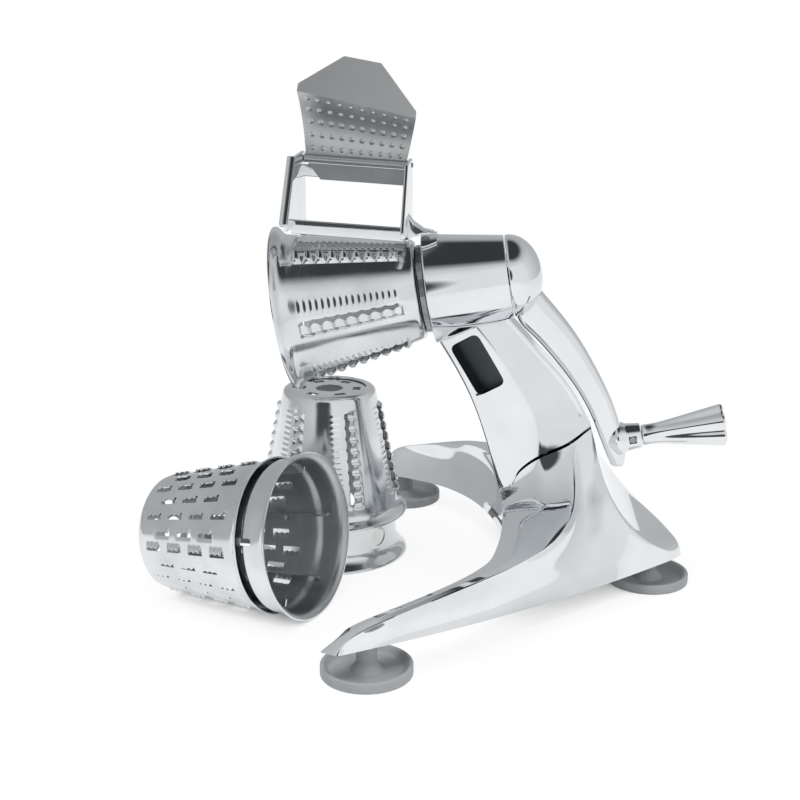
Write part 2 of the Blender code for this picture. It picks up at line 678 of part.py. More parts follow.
hub_face = DRUM_BACK + 0.0005
hub_back = hub_face + HUB_THICK
boss_back = recess_back - BUSH_FLANGE - 2 * GAP
shaft_front = hub_face - 0.0030
shaft_end = HEAD_BACK + 0.0125
shaft = put("drive_shaft", rod("drive_shaft", SHAFT_RADIUS, shaft_front, shaft_end, 24), DARK_STEEL,
            shaft_frame)
clip_at = shoulder_at + GAP
put("shaft_clip", tube("shaft_clip", SHAFT_RADIUS + GAP / 2, SHAFT_RADIUS + 0.0035, clip_at,
                       clip_at + 0.0014, 24), DARK_STEEL, shaft_frame)

hub_outline = [(0, hub_face - SPIGOT_LENGTH), (SPIGOT_RADIUS - 0.001, hub_face - SPIGOT_LENGTH),
               (SPIGOT_RADIUS, hub_face - SPIGOT_LENGTH + 0.001), (SPIGOT_RADIUS, hub_face),
               (HUB_RADIUS, hub_face), (HUB_RADIUS, hub_back), (HUB_BOSS_RADIUS, hub_back),
               (HUB_BOSS_RADIUS, boss_back), (SHAFT_RADIUS + GAP, boss_back),
               (SHAFT_RADIUS + GAP, shaft_front - GAP), (0, shaft_front - GAP)]
hub = put("drive_hub", turned("drive_hub", hub_outline, 32), DARK_STEEL, shaft_frame)


def block_ring(name, count, half_radial, half_round, low, high, phase):
    """Small blocks in a ring round Z, for lugs and for the holes they enter."""
    blocks = []
    for k in range(count):
        block = box(name, (END_HOLE_RING - half_radial, -half_round, low),
                    (END_HOLE_RING + half_radial, half_round, high))
        block.transform(Matrix.Rotation(phase + 2 * pi * k / count, 4, "Z"))
        blocks.append(block)
    return merge(blocks, name)


lug_half = [size / 2 - LUG_CLEARANCE for size in END_HOLE_SIZE]
add(hub, block_ring("hub_lugs", END_HOLES // 2, lug_half[0], lug_half[1], hub_face - LUG_LENGTH,
                    hub_face + 0.001, BLADE_PHASE), shaft_frame)
pin_at = (hub_back + boss_back) / 2
hub_pin_radius = 0.0009
for target in (hub, shaft):
    cut(target, rod("hub_pin_hole", hub_pin_radius + GAP, -HUB_BOSS_RADIUS - 0.002,
                    HUB_BOSS_RADIUS + 0.002, 12), shaft_frame, (0, 0, pin_at), (pi / 2, 0, 0))
put("hub_pin", rod("hub_pin", hub_pin_radius, -HUB_BOSS_RADIUS, HUB_BOSS_RADIUS, 12), DARK_STEEL,
    shaft_frame, (0, 0, pin_at), (pi / 2, 0, 0))


# Crank with its domed hub

def dome_outline():
    """Half an oval from the back face to the tip, with the bore for the shaft's end."""
    start = HEAD_BACK + 0.0006
    points = [(SHAFT_RADIUS + GAP, start)]
    for k in range(7):
        angle = pi / 2 * k / 7
        points.append((HEAD_BACK_RADIUS * cos(angle), start + (DOME_LENGTH - 0.0004) * sin(angle)))
    points += [(0, start + DOME_LENGTH - 0.0004), (0, shaft_end + GAP), (SHAFT_RADIUS + GAP, shaft_end + GAP)]
    return points


def crank_section(inner, outer, half):
    """Chamfered section of the arm at one station, in the shaft frame (x points down)."""
    a = Vector((inner[1] * HANDLE_RADIUS_ARM, 0, inner[0]))
    b = Vector((outer[1] * HANDLE_RADIUS_ARM, 0, outer[0]))
    cut_in = CRANK_CHAMFER
    ring = []
    for share, side in ((0, -1 + cut_in), (cut_in, -1), (1 - cut_in, -1), (1, -1 + cut_in),
                        (1, 1 - cut_in), (1 - cut_in, 1), (cut_in, 1), (0, 1 - cut_in)):
        point = a.lerp(b, share)
        point.y = side * half
        ring.append(point)
    return ring


crank_rings = [crank_section(*station) for station in CRANK_STATIONS]
crank_lines = [spline([ring[k] for ring in crank_rings], 2) for k in range(8)]
crank_arm = put("crank_arm", loft("crank_arm", [list(ring) for ring in zip(*crank_lines)]), CHROME,
                shaft_frame)
add(crank_arm, turned("crank_dome", dome_outline(), 36), shaft_frame)
boss_outline = [(0, BOSS_START), (BOSS_RADIUS, BOSS_START), (BOSS_RADIUS, BOSS_END - 0.010),
                (BOSS_NECK_RADIUS, BOSS_END), (0, BOSS_END)]
handle_frame = empty("handle_frame", shaft_frame, (HANDLE_RADIUS_ARM, 0, 0))
add(crank_arm, turned("crank_boss", boss_outline, 24), handle_frame)
crank_pin_radius = 0.0014
crank_pin_at = HEAD_BACK + 0.0070
crank_pin_half = 0.0130
for target in (crank_arm, shaft):
    cut(target, rod("crank_pin_hole", crank_pin_radius + GAP, -crank_pin_half - GAP,
                    crank_pin_half + GAP, 12), shaft_frame, (0, 0, crank_pin_at), (pi / 2, 0, 0))
put("crank_pin", rod("crank_pin", crank_pin_radius, -crank_pin_half, crank_pin_half, 12),
    DARK_STEEL, shaft_frame, (0, 0, crank_pin_at), (pi / 2, 0, 0))

# Handle: an axle fixed in the boss, a fluted grip that spins on it, and its end washer

grip_start = BOSS_END + 0.0005
grip_end = grip_start + GRIP_LENGTH
axle_foot = BOSS_START + 0.0040
axle_outline = [(0, axle_foot), (AXLE_RADIUS, axle_foot), (AXLE_RADIUS, grip_end - 0.0040),
                (AXLE_RADIUS + 0.0022, grip_end - 0.0040), (AXLE_RADIUS + 0.0022, grip_end - 0.0020),
                (0, grip_end - 0.0020)]
cut(crank_arm, rod("axle_seat", AXLE_RADIUS + GAP, axle_foot - GAP, BOSS_END + 0.002, 20),
    handle_frame)
put("handle_axle", turned("handle_axle", axle_outline, 20), DARK_STEEL, handle_frame)
washer_low = grip_end - 0.0052
put("handle_washer", tube("handle_washer", AXLE_RADIUS + GAP, AXLE_RADIUS + 0.0036, washer_low,
                          grip_end - 0.0040 - GAP, 20), DARK_STEEL, handle_frame)


def grip_mesh(name):
    """The flared grip: lobes and hollows deepen towards its end, with a bore and a washer seat."""
    steps = GRIP_LOBES * 4
    bore_radius = AXLE_RADIUS + RUN
    seat_radius = AXLE_RADIUS + 0.0036 + RUN
    seat_low = washer_low - GAP
    stations = [(0.0, 0.90, 0.0), (0.02, 1.0, 0.0), (0.20, 1.06, 0.35), (0.45, 1.36, 0.8),
                (0.72, 1.72, 1.0), (0.93, 2.00, 1.0), (0.985, 2.04, 1.0), (1.0, 1.97, 1.0)]
    rings = []
    for share, grow, flute in stations:
        radius = GRIP_NECK_RADIUS * grow * GRIP_END_RADIUS / (2.04 * GRIP_NECK_RADIUS)
        if grow < 1.1:
            radius = GRIP_NECK_RADIUS * grow
        ring = []
        for i in range(steps):
            angle = 2 * pi * i / steps
            dip = flute * GRIP_FLUTE_DEPTH * (0.5 - 0.5 * cos(GRIP_LOBES * angle)) ** 2
            size = radius * (1 - dip)
            ring.append((size * cos(angle), size * sin(angle), grip_start + share * GRIP_LENGTH))
        rings.append(ring)
    for radius, height in ((seat_radius, grip_end), (seat_radius, seat_low), (bore_radius, seat_low),
                           (bore_radius, grip_start)):
        rings.append([(radius * cos(2 * pi * i / steps), radius * sin(2 * pi * i / steps), height)
                      for i in range(steps)])
    bm = bmesh.new()
    loops = [[bm.verts.new(p) for p in ring] for ring in rings]
    for a, b in zip(loops, loops[1:] + loops[:1]):
        for i in range(steps):
            j = (i + 1) % steps
            bm.faces.new((a[i], a[j], b[j], b[i]))
    return finish_mesh(name, bm)


put("handle_grip", grip_mesh("handle_grip"), CHROME, handle_frame)
screw_at = BOSS_END - 0.0060
screw_low = AXLE_RADIUS + 2 * GAP
screw_top = BOSS_RADIUS - 0.0012
cut(crank_arm, rod("set_screw_hole", 0.0022 + GAP, AXLE_RADIUS, BOSS_RADIUS + 0.002, 12),
    handle_frame, (0, 0, screw_at), (pi / 2, 0, 0))
put("handle_set_screw", rod("handle_set_screw", 0.0022, screw_low, screw_top, 12), DARK_STEEL,
    handle_frame, (0, 0, screw_at), (pi / 2, 0, 0))


# Drums

def drum_sheet(name, columns, rows, point, is_open):
    """A thin drum skin from a grid round Z; open cells become slots."""
    bm = bmesh.new()
    grid = [[bm.verts.new(point(row, col)) for col in range(columns)] for row in range(rows)]
    for row in range(rows - 1):
        for col in range(columns):
            if is_open(row, col):
                continue
            nxt = (col + 1) % columns
            bm.faces.new((grid[row][col], grid[row][nxt], grid[row + 1][nxt], grid[row + 1][col]))
    mesh = bpy.data.meshes.new(name)
    bm.to_mesh(mesh)
    bm.free()
    mesh.shade_smooth()
    return mesh


def thicken(obj, thickness=SHEET):
    """Give a skin its sheet thickness, inwards."""
    wall = obj.modifiers.new("sheet", "SOLIDIFY")
    wall.thickness = thickness
    wall.offset = -1
    wall.use_rim = True


def zip_lines(bm, left, right):
    """Triangles between two neighbouring lines of vertices that both climb from mouth to end."""
    i = 0
    j = 0
    while i < len(left) - 1 or j < len(right) - 1:
        if j == len(right) - 1 or (i < len(left) - 1 and left[i + 1].co.z <= right[j + 1].co.z):
            bm.faces.new((left[i], right[j], left[i + 1]))
            i += 1
        else:
            bm.faces.new((left[i], right[j], right[j + 1]))
            j += 1


def coarse_drum_mesh(name, phase):
    """Six long slots, each with a scalloped blade edge standing proud of the skin."""
    low = 0.0130
    high = DRUM_LENGTH - 0.0095
    half_pitch = (high - low) / (2 * DRUM_TEETH)
    slope = (DRUM_END_RADIUS + 0.0014 - DRUM_NECK_RADIUS) / (DRUM_LENGTH - 0.0030 - 0.0100)
    mouth = [(0.0, DRUM_MOUTH_RADIUS, 0), (0.0011, DRUM_MOUTH_RADIUS - 0.0001, 0),
             (0.0054, DRUM_NECK_RADIUS + 0.0010, 0)]
    end = [(DRUM_LENGTH - 0.0028, DRUM_END_RADIUS + 0.0013, 0),
           (DRUM_LENGTH - 0.0006, DRUM_END_RADIUS - 0.0006, 0), (DRUM_LENGTH, DRUM_LIP_RADIUS, 0)]

    def skin(z, rise=0.0, turn=0.0):
        return (z, DRUM_NECK_RADIUS + slope * (z - 0.0100) + rise, turn)

    ends_of_slot = (low + half_pitch, high - half_pitch)
    teeth = []
    for k in range(1, 2 * DRUM_TEETH):
        tip = k % 2 == 1
        teeth.append(skin(low + half_pitch * k, TOOTH_RISE if tip else TOOTH_VALLEY,
                          -0.020 if tip else 0.012))
    middles = [[skin(z, -0.0006) for z in ends_of_slot], teeth,
               [skin(z, 0.0009) for z in ends_of_slot], []]
    shares = (0.0, SLOT_SHARE, 0.42, 0.75)
    bm = bmesh.new()
    lines = []
    for sector in range(DRUM_SECTORS):
        for share, middle in zip(shares, middles):
            angle = phase + 2 * pi / DRUM_SECTORS * (sector + share - SLOT_SHARE)
            line = []
            for z, radius, turn in [*mouth, skin(low), *middle, skin(high), *end]:
                line.append(bm.verts.new((radius * cos(angle + turn), radius * sin(angle + turn), z)))
            lines.append(line)
    for k, left in enumerate(lines):
        right = lines[(k + 1) % len(lines)]
        if k % len(shares) == 0:
            zip_lines(bm, left[:4], right[:4])
            zip_lines(bm, left[-4:], right[-4:])
        else:
            zip_lines(bm, left, right)
    mesh = bpy.data.meshes.new(name)
    bm.to_mesh(mesh)
    bm.free()
    mesh.shade_smooth()
    return mesh


def drum_end(name, outer, parent, phase, height):
    """The pierced end disc, seated inside the drum's end lip."""
    disc = put(name, tube(name, SPIGOT_RADIUS + LUG_CLEARANCE, outer, height, height + SHEET, 24),
               STEEL, parent)
    holes = block_ring(name + "_holes", END_HOLES, END_HOLE_SIZE[0] / 2, END_HOLE_SIZE[1] / 2,
                       height - 0.002, height + 0.003, phase)
    cut(disc, holes, parent)
    return disc


def coarse_drum(name, parent, phase):
    """A coarse drum with its end disc."""
    shell = put(name, coarse_drum_mesh(name, phase), STEEL, parent)
    thicken(shell)
    drum_end(name + "_end", DRUM_END_RADIUS - 0.0012 - SHEET, parent, phase,
             DRUM_LENGTH - 2 * SHEET - 2 * GAP)


drum_frame = empty("drum_frame", shaft_frame, (0, 0, DRUM_BACK - DRUM_LENGTH))
coarse_drum("cutting_drum", drum_frame, BLADE_PHASE)

spare_frame = empty("spare_frame", machine, (*SPARE_PLACE, 0))
spare_body = empty("spare_body", spare_frame, (0, 0, SPARE_COLLAR_HEIGHT))
coarse_drum("spare_drum", spare_body, SPARE_BLADE_PHASE)


def collar_mesh(name, rows, steps=32):
    """A turned ring of sheet from (height, radius) rows."""

    def point(row, col):
        angle = 2 * pi * col / steps
        z, radius = rows[row]
        return (radius * cos(angle), radius * sin(angle), z)

    return drum_sheet(name, steps, len(rows), point, lambda row, col: False)


def collar(name, parent, height, rows, seat, holes):
    """A collar whose neck plugs into a drum's mouth, with round holes through the neck."""
    plug = [(height - 0.0010, seat + 0.0003), (height + COLLAR_PLUG, seat)]
    ring = put(name, collar_mesh(name, rows + plug), STEEL, parent)
    thicken(ring)
    for k, angle in enumerate(holes):
        hole = rod(name + "_hole_%d" % k, COLLAR_HOLE_RADIUS, COLLAR_NECK_RADIUS - 0.006,
                   COLLAR_NECK_RADIUS + 0.006, 16)
        place = (0, 0, height * 0.60)
        cut(ring, hole, parent, place, (0, pi / 2, angle))
    return ring


SPARE_COLLAR_ROWS = [(0.0, DRUM_MOUTH_RADIUS), (0.0011, DRUM_MOUTH_RADIUS - 0.0001),
                     (0.0062, COLLAR_NECK_RADIUS + 0.0026), (0.0120, COLLAR_NECK_RADIUS + 0.0002)]
collar("spare_drum_collar", spare_frame, SPARE_COLLAR_HEIGHT, SPARE_COLLAR_ROWS,
       DRUM_NECK_RADIUS - SHEET - COLLAR_PLUG_GAP, [radians(-47), radians(73), radians(193)])


def fine_rows():
    """(height, radius, cell) rows of the fine drum, from its flange to its end."""
    rows = [(0.0, FINE_FLANGE_RADIUS, -1), (0.0011, FINE_FLANGE_RADIUS - 0.0001, -1),
            (0.0056, FINE_NECK_RADIUS + 0.0004, -1)]
    low = FINE_FIRST_SLOT
    high = FINE_LENGTH - FINE_FIRST_SLOT
    pitch = (high - low) / (FINE_PITCHES + 0.5)
    slope = (FINE_END_RADIUS + 0.0010 - FINE_NECK_RADIUS) / (FINE_LENGTH - 0.0040 - 0.0070)
    for k in range(FINE_PITCHES):
        for share in (0.0, 0.66):
            z = low + pitch * (k + share)
            rows.append((z, FINE_NECK_RADIUS + slope * (z - 0.0070), 2 * k + (share > 0)))
    z = low + pitch * FINE_PITCHES
    rows.append((z, FINE_NECK_RADIUS + slope * (z - 0.0070), 2 * FINE_PITCHES))
    end = FINE_LENGTH
    rows += [(end - 0.0032, FINE_END_RADIUS + 0.0009, -1), (end - 0.0006, FINE_END_RADIUS - 0.0008, -1),
             (end, FINE_LIP_RADIUS, -1)]
    return rows, pitch, slope


def fine_drum_mesh(name):
    """Staggered short slots, each with a raised lip over it."""
    rows, pitch, slope = fine_rows()

    def point(row, col):
        z, radius, cell = rows[row]
        line, side = divmod(col, 2)
        if cell >= 0:
            if line % 2 == 1:
                z += pitch / 2
                radius += slope * pitch / 2
            if side == 1 and 0 <= cell < 2 * FINE_PITCHES:
                radius += FINE_LIP_RISE
        angle = 2 * pi / FINE_ROWS * (line + (0.0 if side == 0 else 0.26))
        return (radius * cos(angle), radius * sin(angle), z)

    def is_open(row, col):
        cell = rows[row][2]
        return col % 2 == 0 and cell >= 0 and cell % 2 == 0 and cell < 2 * FINE_PITCHES

    return drum_sheet(name, 2 * FINE_ROWS, len(rows), point, is_open)


fine_mesh = fine_drum_mesh("fine_drum")
fine_tilt = min(atan2(FINE_COLLAR_RIM - hypot(v.co.x, v.co.y), v.co.z + FINE_COLLAR_HEIGHT)
                for v in fine_mesh.vertices)
fine_frame = empty("fine_frame", machine,
                   (FINE_PLACE[0] - FINE_COLLAR_RIM * sin(fine_tilt) * cos(FINE_YAW),
                    FINE_PLACE[1] - FINE_COLLAR_RIM * sin(fine_tilt) * sin(FINE_YAW),
                    FINE_COLLAR_RIM * cos(fine_tilt) + GAP),
                   (0, -pi / 2 - fine_tilt, FINE_YAW))
fine_body = empty("fine_body", fine_frame, (0, 0, FINE_COLLAR_HEIGHT))
fine_drum = put("fine_drum", fine_mesh, STEEL, fine_body)
thicken(fine_drum)
drum_end("fine_drum_end", FINE_END_RADIUS - 0.0014 - SHEET, fine_body, 0.0,
         FINE_LENGTH - 2 * SHEET - 2 * GAP)
FINE_COLLAR_ROWS = [(0.0, FINE_COLLAR_RIM), (0.0011, FINE_COLLAR_RIM - 0.0001), (0.0030, FINE_COLLAR_RADIUS),
                    (FINE_COLLAR_HEIGHT - 0.0060, FINE_COLLAR_RADIUS)]
collar("fine_drum_collar", fine_frame, FINE_COLLAR_HEIGHT, FINE_COLLAR_ROWS,
       FINE_NECK_RADIUS - SHEET - COLLAR_PLUG_GAP, [radians(60)])


# Hopper, hinge leaf, hinge pin and pusher, in the hinge frame

def drum_space(clearance):
    """The mounted drum's swept space, with a clearance."""
    rise = TOOTH_RISE + clearance
    outline = [(0, -0.004), (DRUM_MOUTH_RADIUS + clearance, -0.004), (DRUM_MOUTH_RADIUS + clearance, 0.003),
               (DRUM_NECK_RADIUS + rise, 0.009), (DRUM_END_RADIUS + rise + 0.001, DRUM_LENGTH - 0.005),
               (DRUM_END_RADIUS + clearance, DRUM_LENGTH + 0.002), (0, DRUM_LENGTH + 0.002)]
    return turned("drum_space", outline, 40)


def falling(mesh):
    """Let a hopper shape fall with the hinge line while its walls stay upright."""
    fall = Matrix.Identity(4)
    fall[2][0] = -tan(HINGE_FALL)
    mesh.transform(fall)
    return mesh


wall_outer = WALL_INNER + WALL_THICK
hopper = put("hopper", falling(prism("hopper", WALL_OUTLINE, 0, -wall_outer, -WALL_INNER)), CHROME,
             hopper_frame)
add(hopper, falling(prism("right_wall", WALL_OUTLINE, 0, WALL_INNER, wall_outer)), hopper_frame)
for low, high in BACK_BARS_Z:
    bar = box("back_bar", (-WALL_INNER - 0.0006, BACK_BAR_Y[0], low),
              (WALL_INNER + 0.0006, BACK_BAR_Y[1], high))
    add(hopper, falling(bar), hopper_frame)
rail = box("front_rail", (-WALL_INNER - 0.0006, RAIL_Y[0], RAIL_Z[0]),
           (WALL_INNER + 0.0006, RAIL_Y[1], RAIL_Z[1]))
add(hopper, falling(rail), hopper_frame)
edge_top = Vector(WALL_OUTLINE[1])
edge_low = Vector(WALL_OUTLINE[2])
outward = Vector((edge_low.y - edge_top.y, edge_top.x - edge_low.x)).normalized()
along_edge = (edge_low - edge_top).normalized() * 0.0006
flange_outline = [edge_top - along_edge - outward * WALL_FLANGE_THICK,
                  edge_top - along_edge + outward * 0.0003,
                  edge_low + along_edge + outward * 0.0003,
                  edge_low + along_edge - outward * WALL_FLANGE_THICK]
flange = prism("wall_flange", flange_outline, 0, -wall_outer - WALL_FLANGE, -WALL_INNER - 0.0005)
add(hopper, falling(flange), hopper_frame)
add(hopper, prism("gusset", GUSSET, 1, -HINGE[1] - GUSSET_HALF, -HINGE[1] + GUSSET_HALF),
    hopper_frame)
cut(hopper, drum_space(0.0012), drum_frame)
cut(hopper, turned("barrel_under_foot", barrel_space, 40), shaft_frame)
add(hopper, barrel_patch("hopper_saddle", SADDLE, SADDLE_THICK, True), shaft_frame)
cut(hopper, merge(saddle_holes, "saddle_holes"), shaft_frame)
cut(hopper, rod("hinge_bore", HINGE_PIN_RADIUS + GAP, -wall_outer - 0.004, wall_outer + 0.004, 16),
    hinge_frame, (0, 0, 0), (0, pi / 2, 0))

put("hinge_pin", rod("hinge_pin", HINGE_PIN_RADIUS, -wall_outer - 0.0008, wall_outer + 0.0008, 16),
    DARK_STEEL, hinge_frame, (0, 0, 0), (0, pi / 2, 0))
leaf = prism("hinge_leaf", LEAF_OUTLINE, 1, BACK_BAR_Y[0] - GAP - LEAF_THICK, BACK_BAR_Y[0] - GAP)
put("hinge_leaf", falling(leaf), DARK_STEEL, hopper_frame)


def pusher_mesh(name):
    """Dimpled sheet bent to a cone, then folded back into the palm flange."""
    across = 2 * DIMPLE_COLUMNS + 1
    up = 2 * DIMPLE_ROWS + 1
    bm = bmesh.new()

    def bent(share, climb):
        bend = PUSHER_BEND_LEFT + (PUSHER_BEND_RIGHT - PUSHER_BEND_LEFT) * share
        angle = PUSHER_START + (PUSHER_END - PUSHER_START) * climb
        flare = PUSHER_WIDEN * max(0.0, climb - PUSHER_STRAIGHT) / (1 - PUSHER_STRAIGHT)
        x = (2 * share - 1) * (KNUCKLE_HALF - 0.0006 + flare)
        y = -bend * (cos(PUSHER_START) - cos(angle))
        z = bend * (sin(angle) - sin(PUSHER_START))
        return Vector((x, y - KNUCKLE_RADIUS * 0.4, z)), Vector((0, -cos(angle), -sin(angle)))

    grid = []
    for j in range(up):
        row = []
        for i in range(across + 2):
            share = min(1.0, max(0.0, (i - 0.5) / across))
            place, face = bent(share, j / (up - 1))
            if i % 2 == 0 and 0 < i < across + 1 and j % 2 == 1:
                place = place + face * DIMPLE_RISE
            row.append(bm.verts.new(place))
        grid.append(row)
    fold = grid[-1]
    lean = Vector((0, -sin(PALM_LEAN), cos(PALM_LEAN)))
    fold_half = KNUCKLE_HALF - 0.0006 + PUSHER_WIDEN
    row = []
    for vert in fold:
        share = vert.co.x / fold_half
        rise = 0.0
        for (s0, r0), (s1, r1) in zip(PALM_OUTLINE, PALM_OUTLINE[1:]):
            if s0 <= share <= s1 + 1e-6:
                rise = r0 + (r1 - r0) * (share - s0) / (s1 - s0)
                break
        row.append(bm.verts.new(vert.co + lean * rise))
    grid.append(row)
    for low, high in zip(grid, grid[1:]):
        for i in range(len(low) - 1):
            bm.faces.new((low[i], low[i + 1], high[i + 1], high[i]))
    mesh = bpy.data.meshes.new(name)
    bm.to_mesh(mesh)
    bm.free()
    mesh.shade_smooth()
    return mesh


pusher = put("pusher_plate", pusher_mesh("pusher_plate"), STEEL, hinge_frame)
thicken(pusher, PUSHER_SHEET)
add(pusher, rod("pusher_knuckle", KNUCKLE_RADIUS, -KNUCKLE_HALF, KNUCKLE_HALF, 20), hinge_frame,
    (0, 0, 0), (0, pi / 2, 0))
cut(pusher, rod("pusher_bore", HINGE_PIN_RADIUS + GAP, -KNUCKLE_HALF - 0.002, KNUCKLE_HALF + 0.002, 16),
    hinge_frame, (0, 0, 0), (0, pi / 2, 0))
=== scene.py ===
from math import cos, floor, hypot, pi, radians, sin, tan

import bmesh
import bpy
from mathutils import Matrix, Vector


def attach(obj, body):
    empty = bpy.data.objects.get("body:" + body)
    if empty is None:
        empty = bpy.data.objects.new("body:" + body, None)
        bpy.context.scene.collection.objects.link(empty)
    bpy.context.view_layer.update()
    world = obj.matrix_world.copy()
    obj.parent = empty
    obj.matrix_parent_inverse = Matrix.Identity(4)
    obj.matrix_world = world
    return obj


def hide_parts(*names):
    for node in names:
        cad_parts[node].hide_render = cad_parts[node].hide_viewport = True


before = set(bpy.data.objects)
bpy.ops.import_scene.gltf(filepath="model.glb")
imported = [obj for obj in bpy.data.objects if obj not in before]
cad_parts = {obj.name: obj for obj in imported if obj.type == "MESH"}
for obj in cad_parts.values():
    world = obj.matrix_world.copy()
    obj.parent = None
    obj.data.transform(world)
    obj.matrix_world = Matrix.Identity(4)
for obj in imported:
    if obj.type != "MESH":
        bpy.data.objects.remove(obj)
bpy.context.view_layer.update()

scene = bpy.context.scene


# Studio: a white paper sweep and two soft lights, in a room with light walls and a dark roof
# on the crank's side. The polished castings mirror that room, and it gives them their form.

def linear(code):
    """An sRGB hex colour such as "8F9192" as linear red, green, blue, alpha."""
    parts = [int(code[i:i + 2], 16) / 255 for i in (0, 2, 4)]
    return tuple(p / 12.92 if p <= 0.04045 else ((p + 0.055) / 1.055) ** 2.4 for p in parts) + (1.0,)


def node(tree, kind, links=None, values=None, stops=(), **settings):
    """Add one shader node: its settings, socket values, links, and a colour ramp's stops."""
    made = tree.nodes.new("ShaderNode" + kind)
    for name, value in settings.items():
        setattr(made, name, value)
    for name, value in (values or {}).items():
        made.inputs[name].default_value = value
    for name, source in (links or {}).items():
        tree.links.new(source, made.inputs[name])
    if stops:
        band = made.color_ramp
        while len(band.elements) < len(stops):
            band.elements.new(0.5)
        for element, (place, code) in zip(band.elements, stops):
            element.position = place
            element.color = linear(code)
    return made


# Directions of the room: the walls brighten towards the front on the crank's side, the roof is
# dark above that side, and one dark patch stands in front.
WALL_WAY = (0.60, -0.80, 0.0)
WALL_STOPS = [(0.0, "B6B9BB"), (0.30, "BFC1C3"), (0.50, "CDCFD0"), (0.78, "E4E5E6"),
              (0.90, "F4F4F4"), (1.0, "F4F4F4")]
ROOF_STOPS = [(0.0, "000000"), (0.56, "000000"), (0.72, "7A7A7A"), (0.86, "FFFFFF"), (1.0, "FFFFFF")]
ROOF_SIDE = {"From Min": -0.17, "From Max": -0.05}
ROOF_COLOUR = linear("3A3E40")
DARK_WAY = Vector((-0.13, -0.97, 0.20)).normalized()
DARK_STOPS = [(0.0, "000000"), (0.945, "000000"), (0.968, "FFFFFF"), (1.0, "FFFFFF")]
DARK_COLOUR = linear("4A4E51")

world = bpy.data.worlds.new("studio_room")
scene.world = world
world.use_nodes = True
room = world.node_tree
room.nodes.clear()
toward = node(room, "TexCoord").outputs["Generated"]
around = node(room, "VectorMath", {0: toward}, {1: WALL_WAY}, operation="DOT_PRODUCT")
around_share = node(room, "MapRange", {"Value": around.outputs["Value"]}, {"From Min": -1.0, "From Max": 1.0})
walls = node(room, "ValToRGB", {"Fac": around_share.outputs["Result"]}, stops=WALL_STOPS)
split = node(room, "SeparateXYZ", {"Vector": toward})
roof = node(room, "ValToRGB", {"Fac": split.outputs["Z"]}, stops=ROOF_STOPS)
crank_side = node(room, "MapRange", {"Value": split.outputs["X"]}, ROOF_SIDE)
roof_share = node(room, "Math", {0: roof.outputs["Color"], 1: crank_side.outputs["Result"]},
                  operation="MULTIPLY")
roofed = node(room, "Mix", {"Factor": roof_share.outputs[0], "A": walls.outputs["Color"]},
              {"B": ROOF_COLOUR}, data_type="RGBA")
facing = node(room, "VectorMath", {0: toward}, {1: DARK_WAY}, operation="DOT_PRODUCT")
dark_share = node(room, "ValToRGB", {"Fac": facing.outputs["Value"]}, stops=DARK_STOPS)
lit = node(room, "Mix", {"Factor": dark_share.outputs["Color"], "A": roofed.outputs["Result"]},
           {"B": DARK_COLOUR}, data_type="RGBA")
room_light = node(room, "Background", {"Color": lit.outputs["Result"]}, {"Strength": 1.0})
white = node(room, "Background", values={"Color": (1, 1, 1, 1), "Strength": 1.0})
seen = node(room, "LightPath").outputs["Is Camera Ray"]
both = node(room, "MixShader", {0: seen, 1: room_light.outputs[0], 2: white.outputs[0]})
node(room, "OutputWorld", {"Surface": both.outputs[0]})

# The paper glows white to the camera and nearly so to the metal, and keeps its shadows. Its glow is
# turned down a little close to the stand and wholly where ambient occlusion finds it enclosed: a
# painted shade that makes it greyer near the stand and dark under a drum's open mouth.
SWEEP_HALF = 4
MIRRORED_SHARE = 0.82
STAND_MIDDLE = (-0.15, 0.0, 0.0)
NEAR_TO_FAR = {"From Min": 0.20, "From Max": 0.42, "To Min": 0.88, "To Max": 1.0}
OPEN_AIR_REACH = 0.10
OPEN_AIR = {"From Min": 0.06, "From Max": 0.24}

floor_mesh = bpy.data.meshes.new("sweep")
floor_mesh.from_pydata([(x, y, 0) for x, y in ((-SWEEP_HALF, -SWEEP_HALF), (SWEEP_HALF, -SWEEP_HALF),
                                               (SWEEP_HALF, SWEEP_HALF), (-SWEEP_HALF, SWEEP_HALF))],
                       [], [(0, 1, 2, 3)])
sweep = bpy.data.objects.new("sweep", floor_mesh)
scene.collection.objects.link(sweep)
paper = bpy.data.materials.new("White_seamless_paper")
paper.use_nodes = True
sheet = paper.node_tree
sheet.nodes.clear()
matt = node(sheet, "BsdfDiffuse", values={"Color": linear("F4F4F4")})
glow = node(sheet, "Emission", values={"Color": (1, 1, 1, 1), "Strength": 1.0})
path = node(sheet, "LightPath")
mirrored_share = node(sheet, "Math", {0: path.outputs["Is Glossy Ray"]}, {1: MIRRORED_SHARE},
                      operation="MULTIPLY")
watched = node(sheet, "Math", {0: path.outputs["Is Camera Ray"], 1: mirrored_share.outputs[0]},
               operation="MAXIMUM")
spot = node(sheet, "TexCoord").outputs["Object"]
# The glow is a little lower close to the stand, a painted shade that greys the paper there.
from_stand = node(sheet, "VectorMath", {0: spot}, {1: STAND_MIDDLE}, operation="DISTANCE")
far_white = node(sheet, "MapRange", {"Value": from_stand.outputs["Value"]}, NEAR_TO_FAR)
# Ambient occlusion turns the glow off where the paper is enclosed, a painted shade under a drum's mouth.
open_air = node(sheet, "AmbientOcclusion", values={"Distance": OPEN_AIR_REACH}, samples=8)
outside = node(sheet, "MapRange", {"Value": open_air.outputs["AO"]}, OPEN_AIR)
lit_share = node(sheet, "Math", {0: far_white.outputs[0], 1: outside.outputs["Result"]},
                 operation="MULTIPLY")
share = node(sheet, "Math", {0: watched.outputs[0], 1: lit_share.outputs[0]}, operation="MULTIPLY")
blend = node(sheet, "MixShader", {0: share.outputs[0], 1: matt.outputs[0], 2: glow.outputs[0]})
node(sheet, "OutputMaterial", {"Surface": blend.outputs[0]})
floor_mesh.materials.append(paper)


